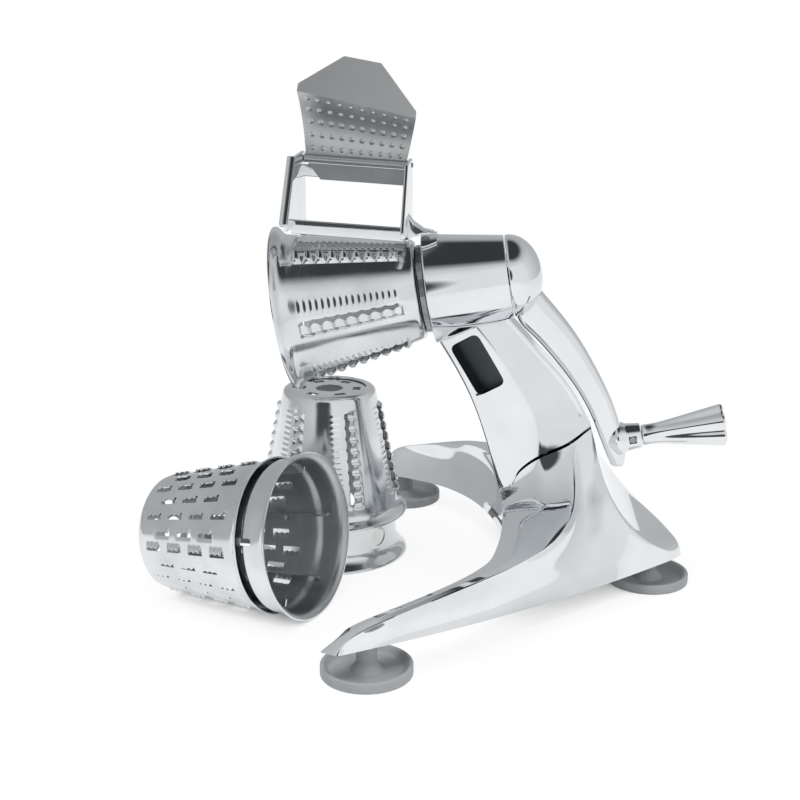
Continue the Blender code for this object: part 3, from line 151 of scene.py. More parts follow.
def lamp(name, place, aim, size, power):
    """A square soft light aimed at a point, which the metal doesn't mirror."""
    data = bpy.data.lights.new(name, "AREA")
    data.size = size
    data.energy = power
    made = bpy.data.objects.new(name, data)
    scene.collection.objects.link(made)
    made.location = place
    made.rotation_euler = (Vector(aim) - Vector(place)).to_track_quat("-Z", "Y").to_euler()
    made.visible_glossy = False


lamp("overhead_softbox", (-0.35, -0.25, 1.35), (-0.15, 0.0, 0.1), 1.1, 17)
lamp("front_fill", (0.75, -1.35, 0.85), (-0.12, 0.0, 0.15), 0.8, 8)

camera_data = bpy.data.cameras.new("camera")
camera_data.sensor_width = 36
camera_data.lens = 60.19
camera = bpy.data.objects.new("camera", camera_data)
scene.collection.objects.link(camera)
# The camera's place and turn were fitted to the photograph, with the object's sizes.
camera.matrix_world = Matrix(((0.996961, -0.020855, 0.075059, -0.10333),
                              (0.077902, 0.266896, -0.960572, -0.87009),
                              (0.0, 0.963500, 0.267709, 0.36735),
                              (0, 0, 0, 1)))
scene.camera = camera
scene.view_settings.view_transform = "Standard"


# Stand: two zinc castings, a three legged base and the curved arm lapped onto it at an S seam.
# Both are ground, buffed and chromed: their ridges are slightly soft, their faces nearly mirrors.

MACHINE = Matrix.Translation((-0.1778, 0, 0))
SHAFT_TILT = radians(9.23)
SHAFT = MACHINE @ Matrix.Translation((0, 0, 0.1979)) @ Matrix.Rotation(pi / 2 - SHAFT_TILT, 4, "Y")
HEM_HEIGHT = 0.0200
FAR_RISE = 0.0060
# The lines run down the near side from the barrel to the foot: the front face's two edges,
# the crest between front and side, and the rear edge. The far side is mirrored from them, and
# the rear foot's tip gives how far back its last two levels reach.
NOSE_LINE = [(0.030, -0.0110, 0.174), (0.045, -0.0115, 0.150), (0.057, -0.0120, 0.126),
             (0.066, -0.0130, 0.100), (0.072, -0.0150, 0.078), (0.0765, -0.020, 0.060),
             (0.077, -0.040, 0.050), (0.072, -0.084, 0.049), (0.066, -0.105, 0.0495),
             (0.050, -0.128, 0.0485), (0.024, -0.145, 0.0425), (-0.012, -0.163, 0.033),
             (-0.014, -0.150, HEM_HEIGHT)]
FACE_LINE = [(0.057, -0.019, 0.181), (0.071, -0.0205, 0.164), (0.086, -0.022, 0.139),
             (0.0945, -0.023, 0.117), (0.100, -0.025, 0.096), (0.102, -0.031, 0.077),
             (0.101, -0.045, 0.062), (0.092, -0.080, 0.054), (0.078, -0.107, 0.052),
             (0.056, -0.132, 0.0505), (0.027, -0.149, 0.043), (-0.010, -0.1655, 0.032),
             (-0.027, -0.170, HEM_HEIGHT)]
CREST_LINE = [(0.0745, -0.012, 0.186), (0.0985, -0.013, 0.159), (0.115, -0.014, 0.141),
              (0.1285, -0.016, 0.117), (0.124, -0.024, 0.100), (0.124, -0.038, 0.079),
              (0.122, -0.055, 0.067), (0.111, -0.078, 0.057), (0.090, -0.105, 0.0525),
              (0.062, -0.134, 0.050), (0.030, -0.1515, 0.042), (-0.008, -0.169, 0.030),
              (-0.016, -0.175, HEM_HEIGHT)]
REAR_LINE = [(0.0785, -0.012, 0.185), (0.1035, -0.013, 0.158), (0.1200, -0.014, 0.1398),
             (0.1340, -0.016, 0.115), (0.1385, -0.020, 0.097), (0.143, -0.028, 0.082),
             (0.148, -0.034, 0.071), (0.154, -0.037, 0.061), (0.161, -0.037, 0.052),
             (0.171, -0.033, 0.042), (0.182, -0.026, 0.0335), (0.192, -0.015, 0.026),
             (0.194, -0.012, HEM_HEIGHT)]
REAR_TIP = [0.2000, 0.2030]
# How far the webs between the legs bow inwards and sag, and how the arch in front of them runs.
WEB_DEPTH = [-0.0003, -0.0003, -0.0003, 0.0, 0.0015, 0.004, 0.006, 0.007, 0.0075, 0.0075,
             0.003, -0.006, -0.009]
WEB_SAG = [0.0, 0.0, 0.0, 0.0, 0.0, 0.002, 0.004, 0.007, 0.009, 0.010, 0.009, 0.005, 0.0]
ARCH_X = [0.029, 0.044, 0.056, 0.065, 0.073, 0.0785, 0.081, 0.082, 0.082, 0.082, 0.082,
          0.082, 0.082]
ARCH_Z = [0.174, 0.150, 0.126, 0.100, 0.077, 0.057, 0.046, 0.040, 0.036, 0.032, 0.028,
          0.024, HEM_HEIGHT]
# The S seam seen from the side, and how crisp each ridge of the casting stays.
SEAM = [(0.240, 0.150), (0.136, 0.1145), (0.119, 0.1030), (0.101, 0.0950), (0.088, 0.0835),
        (0.081, 0.0710), (0.064, 0.0655)]
SEAM_GAP = 0.0022
RIDGES = {0: 0.86, 1: 0.80, 2: 0.86, 10: 0.72, 12: 0.72, 20: 0.86, 21: 0.80, 22: 0.86}
HAZE_SIZE = 0.030
WAVE_SIZE = 0.016


def metal(name, colour, worn, wear, roughness, grain, stretch, grain_bump, wave_bump=0.0):
    """A metal with grain of a size in metres, stretched along an axis, and slow wear and waves."""
    mat = bpy.data.materials.new(name)
    mat.use_nodes = True
    tree = mat.node_tree
    shader = tree.nodes["Principled BSDF"]
    shader.inputs["Metallic"].default_value = 1.0
    place = node(tree, "TexCoord").outputs["Object"]
    laid = node(tree, "Mapping", {"Vector": place}, {"Scale": stretch})
    fine = node(tree, "TexNoise", {"Vector": laid.outputs[0]},
                {"Scale": 1 / grain, "Detail": 4.0, "Roughness": 0.6})
    slow = node(tree, "TexNoise", {"Vector": place}, {"Scale": 1 / HAZE_SIZE, "Detail": 3.0})
    low, high = roughness
    mixed = node(tree, "Math", {0: fine.outputs["Fac"], 1: slow.outputs["Fac"]}, operation="MULTIPLY")
    rough = node(tree, "MapRange", {"Value": mixed.outputs[0]},
                 {"From Min": 0.12, "From Max": 0.42, "To Min": low, "To Max": high})
    tree.links.new(rough.outputs[0], shader.inputs["Roughness"])
    worn_share = node(tree, "MapRange", {"Value": slow.outputs["Fac"]},
                      {"From Min": 0.35, "From Max": 0.75, "To Min": 0.0, "To Max": 0.25 + wear})
    tint = node(tree, "Mix", {"Factor": worn_share.outputs[0]},
                {"A": linear(colour), "B": linear(worn)}, data_type="RGBA")
    tree.links.new(tint.outputs["Result"], shader.inputs["Base Color"])
    height = node(tree, "Math", {0: fine.outputs["Fac"]}, {1: grain_bump}, operation="MULTIPLY")
    if wave_bump:
        wave = node(tree, "TexNoise", {"Vector": place}, {"Scale": 1 / WAVE_SIZE, "Detail": 1.0})
        height = node(tree, "Math", {0: wave.outputs["Fac"], 2: height.outputs[0]}, {1: wave_bump},
                      operation="MULTIPLY_ADD")
    tilted = node(tree, "Bump", {"Height": height.outputs[0]}, {"Strength": 1.0, "Distance": 0.001})
    tree.links.new(tilted.outputs["Normal"], shader.inputs["Normal"])
    return mat


# Buffed chrome over zinc: almost a mirror, with faint polishing haze and soft waves. Its real
# polishing marks are too fine to show, so the haze is drawn 2 mm coarse.
CHROME = metal("Polished_chrome_plate", "E6E8EA", "D2D6D9", 0.2, (0.025, 0.075), 0.0020, (1, 1, 1),
               0.002, wave_bump=0.020)


def put(name, mesh, mat, place=MACHINE):
    """A new piece from a mesh, standing in its own frame."""
    made = bpy.data.objects.new(name, mesh)
    scene.collection.objects.link(made)
    made.matrix_world = place
    if mat:
        mesh.materials.clear()
        mesh.materials.append(mat)
    return made


def settle(obj):
    """Apply the modifiers of a piece to its mesh."""
    bpy.context.view_layer.update()
    graph = bpy.context.evaluated_depsgraph_get()
    mesh = bpy.data.meshes.new_from_object(obj.evaluated_get(graph))
    obj.modifiers.clear()
    obj.data = mesh


def combine(target, operation, mesh, place=MACHINE):
    """Cut, add or intersect one shape and keep the result."""
    tool = put("tool", mesh, None, place)
    step = target.modifiers.new("step", "BOOLEAN")
    step.operation = operation
    step.solver = "EXACT"
    step.object = tool
    settle(target)
    bpy.data.objects.remove(tool, do_unlink=True)


def shade(obj, angle=35):
    """Smooth shading that keeps edges sharper than an angle."""
    obj.data.shade_smooth()
    obj.data.set_sharp_from_angle(angle=radians(angle))
    return obj


def finished(name, bm):
    """A mesh from a bmesh, faces outward, shaded smooth."""
    bmesh.ops.recalc_face_normals(bm, faces=bm.faces)
    mesh = bpy.data.meshes.new(name)
    bm.to_mesh(mesh)
    bm.free()
    mesh.shade_smooth()
    mesh.set_sharp_from_angle(angle=radians(38))
    return mesh


def spline(points, steps):
    """Points on a smooth curve through the given ones."""
    ends = [2 * points[0] - points[1]] + list(points) + [2 * points[-1] - points[-2]]
    out = []
    for a, b, c, d in zip(ends, ends[1:], ends[2:], ends[3:]):
        for k in range(steps):
            t = k / steps
            out.append(0.5 * (2 * b + (c - a) * t + (2 * a - 5 * b + 4 * c - d) * t ** 2
                              + (3 * b - a - 3 * c + d) * t ** 3))
    out.append(points[-1].copy())
    return out


def loft(name, rings, creases=None, closed=True):
    """Skin rings of points, with both ends closed unless told not to; creased columns stay crisp."""
    bm = bmesh.new()
    loops = [[bm.verts.new(p) for p in ring] for ring in rings]
    count = len(loops[0])
    for a, b in zip(loops, loops[1:]):
        for i in range(count):
            j = (i + 1) % count
            bm.faces.new((a[i], a[j], b[j], b[i]))
    if closed:
        bm.faces.new(loops[0])
        bm.faces.new(list(reversed(loops[-1])))
    if creases:
        layer = bm.edges.layers.float.new("crease_edge")
        for a, b in zip(loops, loops[1:]):
            for column, amount in creases.items():
                bm.edges.get((a[column], b[column]))[layer] = amount
    return finished(name, bm)


def prism(name, outline, axis, low, high):
    """Extrude a flat outline along one axis; its points fill the other two."""
    rings = []
    for level in (low, high):
        ring = []
        for p, q in outline:
            point = [p, q]
            point.insert(axis, level)
            ring.append(point)
        rings.append(ring)
    return loft(name, rings)


def softened(corners, steps=6):
    """Round the corners of a closed outline; each corner is (x, y, radius)."""
    out = []
    count = len(corners)
    for i, (x, y, radius) in enumerate(corners):
        here = Vector((x, y))
        if radius <= 0:
            out.append((x, y))
            continue
        before = Vector(corners[i - 1][:2]) - here
        after = Vector(corners[(i + 1) % count][:2]) - here
        half = before.angle(after) / 2
        reach = min(radius / tan(half), before.length * 0.48, after.length * 0.48)
        start = here + before.normalized() * reach
        end = here + after.normalized() * reach
        for k in range(steps + 1):
            t = k / steps
            point = start * (1 - t) ** 2 + here * 2 * t * (1 - t) + end * t ** 2
            out.append((point.x, point.y))
    return out


def turned(name, profile, steps, start=0.0):
    """Spin a closed outline of (radius, height) round Z. Radius 0 makes a pole."""
    bm = bmesh.new()
    rings = []
    for radius, height in profile:
        if radius <= 0:
            rings.append([bm.verts.new((0, 0, height))])
            continue
        rings.append([bm.verts.new((radius * cos(start + 2 * pi * i / steps),
                                    radius * sin(start + 2 * pi * i / steps), height))
                      for i in range(steps)])
    for a, b in zip(rings, rings[1:] + rings[:1]):
        if len(a) == 1 and len(b) == 1:
            continue
        for i in range(steps):
            j = (i + 1) % steps
            if len(a) == 1:
                bm.faces.new((a[0], b[i], b[j]))
            elif len(b) == 1:
                bm.faces.new((a[i], a[j], b[0]))
            else:
                bm.faces.new((a[i], a[j], b[j], b[i]))
    return finished(name, bm)


def rod(name, radius, low, high, steps=48):
    """A plain cutter along Z."""
    return turned(name, [(0, low), (radius, low), (radius, high), (0, high)], steps, 0.03)


COLUMN_FOOT = 4
LEG_CREST = 7


def leg_share(level, count):
    """0 on the column, 1 on the leg crests, 0 again at the hem."""
    if level == count - 1:
        return 0.0
    return min(1.0, max(0.0, (level - COLUMN_FOOT) / (LEG_CREST - COLUMN_FOOT)))


def mirrored(line):
    """The far side of a line, a little higher on the legs."""
    return [(x, -y, z + FAR_RISE * leg_share(i, len(line))) for i, (x, y, z) in enumerate(line)]


def outer_web(level, crest, rear):
    """Points across the web between a front leg's crest and the rear leg's edge."""
    a = Vector(crest)
    b = Vector(rear)
    chord = b - a
    inward = Vector((-chord.y, chord.x, 0)).normalized()
    if a.y > 0:
        inward = -inward
    out = []
    for t in (0.25, 0.5, 0.75):
        bow = 4 * t * (1 - t)
        point = a.lerp(b, t) + inward * WEB_DEPTH[level] * bow
        point.z -= WEB_SAG[level] * bow
        out.append(point)
    return out


def arch_web(level, back, front):
    """Points round the arch between the two front legs."""
    a = Vector(back)
    b = Vector(front)
    out = []
    for k in range(1, 6):
        angle = pi * k / 6
        share = (1 - cos(angle)) / 2
        end = a.lerp(b, share)
        x = end.x + (ARCH_X[level] - end.x) * sin(angle)
        z = end.z + (ARCH_Z[level] - end.z) * sin(angle)
        out.append(Vector((x, end.y, z)))
    return out


def casting_cage():
    """The whole stand as one cage, open above and below: three ribbons, two webs and the arch."""
    near = [NOSE_LINE, FACE_LINE, CREST_LINE, REAR_LINE]
    far = [mirrored(line) for line in near]
    levels = []
    for i in range(len(NOSE_LINE)):
        nose, face, crest, rear = [Vector(line[i]) for line in near]
        nose_far, face_far, crest_far, rear_far = [Vector(line[i]) for line in far]
        spine = (rear + rear_far) / 2
        if i >= len(NOSE_LINE) - 2:
            spine = Vector((REAR_TIP[i - len(NOSE_LINE) + 2], 0, spine.z))
        levels.append([[nose, face, crest], [crest, *outer_web(i, crest, rear), rear],
                       [rear, spine, rear_far],
                       [rear_far, *reversed(outer_web(i, crest_far, rear_far)), crest_far],
                       [crest_far, face_far, nose_far],
                       [nose_far, *arch_web(i, nose_far, nose), nose]])
    rings = []
    for part in range(6):
        columns = [spline([level[part][k] for level in levels], 2) for k in range(len(levels[0][part]))]
        fineness = 2 if part in (1, 3) else 1
        rows = [spline(list(row), fineness)[:-1] for row in zip(*columns)]
        rings = [ring + row for ring, row in zip(rings, rows)] if rings else rows
    return loft("casting", rings, RIDGES, closed=False)


SKIN_LEVELS = 3


def whole_casting(name):
    """The cage rounded off as the casting's buffed skin, then closed above and below."""
    made = put(name, casting_cage(), CHROME)
    skin = made.modifiers.new("skin", "SUBSURF")
    skin.levels = SKIN_LEVELS
    skin.render_levels = SKIN_LEVELS
    settle(made)
    bm = bmesh.new()
    bm.from_mesh(made.data)
    ends = bmesh.ops.holes_fill(bm, edges=[e for e in bm.edges if e.is_boundary], sides=0)["faces"]
    bmesh.ops.triangulate(bm, faces=ends)
    bmesh.ops.recalc_face_normals(bm, faces=bm.faces)
    bm.to_mesh(made.data)
    bm.free()
    return made


def seam_tool(drop):
    """Everything above the S seam, lowered by a drop."""
    line = spline([Vector((x, 0, z)) for x, z in SEAM[1:]], 5)
    outline = [(SEAM[0][0], SEAM[0][1] - drop)] + [(p.x, p.z - drop) for p in line]
    outline += [(-0.020, 0.100), (-0.060, 0.300), (SEAM[0][0], 0.300)]
    return prism("seam", outline, 1, -0.070, 0.070)


POCKET_MOUTH = HEM_HEIGHT - 0.002
POCKET_TOP = 0.044
pocket = [[(0.0920, -0.0660, POCKET_MOUTH), (0.0920, 0.0660, POCKET_MOUTH), (0.1620, 0.0, POCKET_MOUTH)],
          [(0.0950, -0.0400, POCKET_TOP), (0.0950, 0.0400, POCKET_TOP), (0.1420, 0.0, POCKET_TOP)]]
base = whole_casting("base_casting_skin")
combine(base, "DIFFERENCE", seam_tool(SEAM_GAP / 2))
combine(base, "DIFFERENCE", loft("pocket", pocket))
shade(base)
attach(base, "stand")
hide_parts("base_casting")

# A recess with rounded corners lies in each side of the arm's front face.
WINDOW_SIZE = (0.0385, 0.0215, 0.0090)
WINDOW_CORNER = 0.005
WINDOW_MIDDLE = (0.0592, -0.0152, 0.1545)
WINDOW_DOWN = Vector((0.53, 0.0, -0.85)).normalized()
WINDOW_ACROSS = (0.675, -0.467, 0.571)


def window_frame(side):
    """Where the recess in the arm's face lies: its length, width and depth directions."""
    across = Vector(WINDOW_ACROSS)
    across.y *= -side
    across = (across - WINDOW_DOWN * across.dot(WINDOW_DOWN)).normalized()
    turn = Matrix((WINDOW_DOWN, across, WINDOW_DOWN.cross(across))).transposed().to_4x4()
    return Matrix.Translation((WINDOW_MIDDLE[0], -side * WINDOW_MIDDLE[1], WINDOW_MIDDLE[2])) @ turn


def window_tool(side):
    """The recess, with rounded corners."""
    length, width, depth = [size / 2 for size in WINDOW_SIZE]
    outline = softened([(-length, -width, WINDOW_CORNER), (length, -width, WINDOW_CORNER),
                        (length, width, WINDOW_CORNER), (-length, width, WINDOW_CORNER)])
    mesh = prism("window", outline, 2, -depth, depth)
    mesh.transform(window_frame(side))
    return mesh


HEAD_FRONT = 0.0262
HEAD_BACK = 0.0793
HEAD_FRONT_RADIUS = 0.0358
HEAD_BACK_RADIUS = 0.0273
BARREL_GAP = 0.0003


def barrel_radius(distance):
    """Outer radius of the barrel at a distance along the shaft."""
    share = (distance - HEAD_FRONT) / (HEAD_BACK - HEAD_FRONT)
    return HEAD_FRONT_RADIUS + (HEAD_BACK_RADIUS - HEAD_FRONT_RADIUS) * share


def barrel_patch(name, stations, thickness, upside):
    """A plate that follows the barrel; each station gives distance and half its spread."""
    rings = []
    middle = pi if upside else 0.0
    for distance, half in stations:
        low = barrel_radius(distance) + BARREL_GAP
        angles = [middle + half * k / 20 for k in range(-20, 21)]
        ring = [(low * cos(a), low * sin(a), distance) for a in angles]
        ring += [((low + thickness) * cos(a), (low + thickness) * sin(a), distance)
                 for a in reversed(angles)]
        rings.append(ring)
    return loft(name, rings)


arm = whole_casting("support_arm_skin")
combine(arm, "INTERSECT", seam_tool(-SEAM_GAP / 2))
space_front = barrel_radius(HEAD_FRONT) + BARREL_GAP
space_back = barrel_radius(HEAD_BACK) + BARREL_GAP
barrel_space = [(0, HEAD_FRONT - 0.012), (space_front, HEAD_FRONT - 0.012),
                (space_front, HEAD_FRONT - BARREL_GAP), (space_back, HEAD_BACK + BARREL_GAP),
                (space_back, HEAD_BACK + 0.012), (0, HEAD_BACK + 0.012)]
combine(arm, "DIFFERENCE", turned("barrel_space", barrel_space, 160), SHAFT)
for side in (-1, 1):
    combine(arm, "DIFFERENCE", window_tool(side))
CRADLE = [(0.0268, radians(56)), (0.0400, radians(47)), (0.0550, radians(38)), (0.0700, radians(27))]
combine(arm, "UNION", barrel_patch("cradle", CRADLE, 0.0011, False), SHAFT)
# The recess is painted a dark satin grey: painted shade in the hollow.
RECESS_SHADE = metal("Recess_painted_shade", "5A6164", "4A5053", 0.3, (0.34, 0.48), 0.0008,
                  (1, 1, 1), 0.030)
RECESS_MARGIN = 0.00005
SURFACE_BAND = 0.0030
WALL_SLANT = 0.45
arm.data.materials.append(RECESS_SHADE)
# The walls and floor of each recess take the painted shade.
for side in (-1, 1):
    opened = window_frame(side)
    inward = opened.inverted()
    depth_way = opened.col[2].to_3d()
    for face in arm.data.polygons:
        spot_in = inward @ face.center
        inside_box = all(abs(spot_in[i]) < WINDOW_SIZE[i] / 2 + RECESS_MARGIN for i in range(3))
        on_wall = abs(face.normal.dot(depth_way)) < WALL_SLANT
        if inside_box and (on_wall or abs(spot_in.z) > SURFACE_BAND):
            face.material_index = 1
shade(arm)
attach(arm, "stand")
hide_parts("support_arm")


# Suction cups: soft grey PVC dishes pushed onto studs under the legs' ends.
# Moulded, so matt with a faint bloom; each has a raised outer rim and a short neck.

BLOOM_SIZE = 0.012
# The mould's fine texture is drawn 0.6 mm coarse so that it shows.
GRIT_SIZE = 0.0006


def soft_plastic(name, colour, pale):
    """Matt moulded PVC with fine texture and a paler bloom."""
    mat = bpy.data.materials.new(name)
    mat.use_nodes = True
    tree = mat.node_tree
    shader = tree.nodes["Principled BSDF"]
    shader.inputs["Specular IOR Level"].default_value = 0.35
    place = node(tree, "TexCoord").outputs["Object"]
    bloom = node(tree, "TexNoise", {"Vector": place}, {"Scale": 1 / BLOOM_SIZE, "Detail": 5.0})
    grit = node(tree, "TexNoise", {"Vector": place}, {"Scale": 1 / GRIT_SIZE, "Detail": 2.0})
    tint = node(tree, "Mix", {"Factor": bloom.outputs["Fac"]},
                {"A": linear(colour), "B": linear(pale)}, data_type="RGBA")
    tree.links.new(tint.outputs["Result"], shader.inputs["Base Color"])
    rough = node(tree, "MapRange", {"Value": bloom.outputs["Fac"]}, {"To Min": 0.42, "To Max": 0.62})
    tree.links.new(rough.outputs[0], shader.inputs["Roughness"])
    tilted = node(tree, "Bump", {"Height": grit.outputs["Fac"]}, {"Strength": 0.25, "Distance": 0.0002})
    tree.links.new(tilted.outputs["Normal"], shader.inputs["Normal"])
    return mat


RUBBER = soft_plastic("Grey_PVC_moulded", "83878A", "9C9FA1")
CUP_RADIUS = 0.0277
CUP_RIM_HEIGHT = 0.0066
CUP_FLOOR = 0.0026
CUP_NECK = 0.0062
CUP_TOP = HEM_HEIGHT - 0.0003
STUD_HOLE = 0.0032
STUD_END = CUP_FLOOR + 0.002
CUP_PLACES = {"front": (-0.0012, -0.1544), "back": (-0.0012, 0.1544), "rear": (0.1778, 0.0)}
cup_outline = softened([
    (0.0, 0.0, 0), (CUP_RADIUS, 0.0, 0.0010), (CUP_RADIUS, CUP_RIM_HEIGHT, 0.0010),
    (CUP_RADIUS - 0.0022, CUP_RIM_HEIGHT, 0.0009), (CUP_RADIUS - 0.0052, CUP_FLOOR, 0.0030),
    (CUP_NECK + 0.0040, CUP_FLOOR, 0.0020), (CUP_NECK, CUP_FLOOR + 0.0050, 0.0030),
    (CUP_NECK, CUP_TOP, 0.0004), (STUD_HOLE, CUP_TOP, 0), (STUD_HOLE, STUD_END, 0),
    (0.0, STUD_END, 0)])
for place, (x, y) in CUP_PLACES.items():
    cup = put("suction_cup_skin_" + place, turned("cup", cup_outline, 96), RUBBER,
              MACHINE @ Matrix.Translation((x, y, 0)))
    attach(cup, "stand")
    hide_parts("suction_cup_" + place)


# Head: a tapered barrel turned and chromed like the stand, bolted down into the arm's cradle.
# The plate, bolts and shaft parts in it are zinc plated steel, the bushes oil filled bronze.

# Zinc plate on steel is a satin grey, and sintered bronze a dull brown with open pores.
SATIN = metal("Zinc_plated_steel", "9FA3A6", "7D8184", 0.3, (0.22, 0.38), 0.0006, (1, 1, 1), 0.020)
BRONZE = metal("Oil_filled_bronze", "A98457", "7C5E3A", 0.4, (0.34, 0.52), 0.0005, (1, 1, 1), 0.030)
RECESS_BACK = HEAD_FRONT + 0.0055
RECESS_RADIUS = 0.0318
PLATE_RADIUS = 0.0220
SHOULDER_AT = RECESS_BACK + 0.0043
INNER_RADIUS = 0.0200
INNER_END = 0.0660
BUSH_SEAT = 0.0091
REAR_DISH = BUSH_SEAT + 0.006
REAR_DISH_FLOOR = HEAD_BACK - 0.003
head_profile = softened([
    (HEAD_FRONT_RADIUS, HEAD_FRONT, 0.0010), (HEAD_BACK_RADIUS, HEAD_BACK, 0.0008),
    (REAR_DISH, HEAD_BACK, 0.0003), (REAR_DISH, REAR_DISH_FLOOR, 0), (BUSH_SEAT, REAR_DISH_FLOOR, 0),
    (BUSH_SEAT, INNER_END, 0), (INNER_RADIUS, INNER_END, 0), (INNER_RADIUS, SHOULDER_AT, 0),
    (PLATE_RADIUS, SHOULDER_AT, 0), (PLATE_RADIUS, RECESS_BACK, 0),
    (RECESS_RADIUS, RECESS_BACK, 0.0006), (RECESS_RADIUS, HEAD_FRONT, 0.0006)])
head = put("head_barrel", turned("head_barrel", head_profile, 192), CHROME, SHAFT)
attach(head, "stand")
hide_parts("head_housing")
# The hinge leaf is a grey steel plate on the hopper's back wall, set where a grey patch of reflection lies:
# partly a real hinge part, partly a painted reflection.
STEEL_PARTS = ("bearing_plate", "arm_bolt_front", "arm_bolt_rear", "cup_stud_front", "cup_stud_back",
               "cup_stud_rear", "head_bolt_front", "head_bolt_rear", "drive_shaft", "shaft_clip",
               "drive_hub", "hub_pin", "crank_pin", "handle_axle", "handle_washer",
               "handle_set_screw", "hinge_pin", "hopper_screw_front", "hopper_screw_back", "hinge_leaf")
for finish, names in ((SATIN, STEEL_PARTS), (BRONZE, ("front_bush", "rear_bush"))):
    for name in names:
        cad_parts[name].data.materials.clear()
        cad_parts[name].data.materials.append(finish)


# Crank: one zinc casting, a curved arm under a domed hub, with a boss for the handle's axle.
# Buffed and chromed, its edges rounded all along; a pin through the hub holds it on the shaft.

# Each station of the arm: its inner and outer edge as (along the shaft, out from it), half width.
CRANK_STATIONS = [
    ((0.0835, 0.0120), (0.0965, 0.0080), 0.0110),
    ((0.0805, 0.0280), (0.1025, 0.0175), 0.0110),
    ((0.0915, 0.0440), (0.1125, 0.0340), 0.0100),
    ((0.1010, 0.0590), (0.1215, 0.0520), 0.0090),
    ((0.1115, 0.0780), (0.1310, 0.0770), 0.0082),
    ((0.1190, 0.0970), (0.1368, 0.0970), 0.0080),
    ((0.1230, 0.1130), (0.1395, 0.1130), 0.0084),
    ((0.1265, 0.1280), (0.1405, 0.1280), 0.0078),
    ((0.1295, 0.1385), (0.1380, 0.1395), 0.0060),
]
BOSS_START = 0.1340
BOSS_END = 0.1516
CRANK_REACH = 0.1200
SHAFT_END = HEAD_BACK + 0.0125
SHAFT_BORE = 0.0063
HANDLE = SHAFT @ Matrix.Translation((CRANK_REACH, 0, 0))
CHAMFER = 0.24


def crank_section(inner, outer, half):
    """Chamfered section of the arm at one station."""
    a = Vector((inner[1], 0, inner[0]))
    b = Vector((outer[1], 0, outer[0]))
    ring = []
    for share, side in ((0, -1 + CHAMFER), (CHAMFER, -1), (1 - CHAMFER, -1), (1, -1 + CHAMFER),
                        (1, 1 - CHAMFER), (1 - CHAMFER, 1), (CHAMFER, 1), (0, 1 - CHAMFER)):
        point = a.lerp(b, share)
        point.y = side * half
        ring.append(point)
    return ring


crank_rings = [crank_section(*station) for station in CRANK_STATIONS]
crank_lines = [spline([ring[k] for ring in crank_rings], 3) for k in range(8)]
crank = put("crank_casting", loft("crank", list(zip(*crank_lines)), {0: 0.25}), CHROME, SHAFT)
rounding = crank.modifiers.new("rounding", "SUBSURF")
rounding.levels = SKIN_LEVELS
rounding.render_levels = SKIN_LEVELS
settle(crank)
DOME_START = HEAD_BACK + 0.0006
DOME_LENGTH = 0.0213
DOME_EDGE = 0.0006
dome = [(SHAFT_BORE, DOME_START), (HEAD_BACK_RADIUS - 0.0008, DOME_START),
        (HEAD_BACK_RADIUS - 0.0002, DOME_START + 0.0002)]
for k in range(40):
    turn = pi / 2 * k / 40
    dome.append((HEAD_BACK_RADIUS * cos(turn),
                 DOME_START + DOME_EDGE + (DOME_LENGTH - DOME_EDGE) * sin(turn)))
dome += [(0, DOME_START + DOME_LENGTH), (0, SHAFT_END + 0.0003), (SHAFT_BORE, SHAFT_END + 0.0003)]
combine(crank, "UNION", turned("dome", dome, 192), SHAFT)
boss = softened([(0, BOSS_START - 0.006, 0), (0.0070, BOSS_START - 0.006, 0),
                 (0.0125, BOSS_START + 0.002, 0.004), (0.0094, BOSS_START + 0.008, 0.004),
                 (0.0084, BOSS_END, 0.0010), (0, BOSS_END, 0)])
combine(crank, "UNION", turned("boss", boss, 128), HANDLE)
combine(crank, "DIFFERENCE", rod("axle_seat", 0.0033, BOSS_START + 0.0037, BOSS_END + 0.002), HANDLE)
combine(crank, "DIFFERENCE", rod("crank_pin_hole", 0.0017, -0.0133, 0.0133),
        SHAFT @ Matrix.Translation((0, 0, HEAD_BACK + 0.0070)) @ Matrix.Rotation(pi / 2, 4, "X"))
HOLE_HALF = 0.0026
HOLE_CORNER = 0.0006
hole_outline = softened([(-HOLE_HALF, -HOLE_HALF, HOLE_CORNER), (HOLE_HALF, -HOLE_HALF, HOLE_CORNER),
                         (HOLE_HALF, HOLE_HALF, HOLE_CORNER), (-HOLE_HALF, HOLE_HALF, HOLE_CORNER)], 3)
combine(crank, "DIFFERENCE", prism("screw_hole", hole_outline, 2, 0.003, 0.013),
        HANDLE @ Matrix.Translation((0, 0, BOSS_END - 0.0060)) @ Matrix.Rotation(pi / 2, 4, "X"))
shade(crank, 30)
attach(crank, "crank")
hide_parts("crank_arm")


# Handle grip: a chromed zinc casting that flares to its end, its flutes deepening with it.
# It spins on the axle and is kept on by the washer in the seat in its end.

GRIP_START = BOSS_END + 0.0005
GRIP_LENGTH = 0.0545
GRIP_END = GRIP_START + GRIP_LENGTH
GRIP_NECK = 0.0070
GRIP_FLARED = 0.0143
WIDEST = 2.04
GRIP_BORE = 0.0034
LOBES = 6
HOLLOW = 0.20
# Share of the grip's length, how far it has flared, and how deep its hollows are there.
GRIP_SMOOTH = ((0.0, 0.88, 0.0), (0.03, 1.0, 0.0), (0.20, 1.06, 0.35), (0.45, 1.36, 0.8),
               (0.72, 1.72, 1.0), (0.93, 2.00, 1.0))
GRIP_RIM = ((0.970, 2.035, 1.0), (0.985, WIDEST, 1.0), (0.995, 2.00, 1.0), (1.0, 1.94, 1.0))


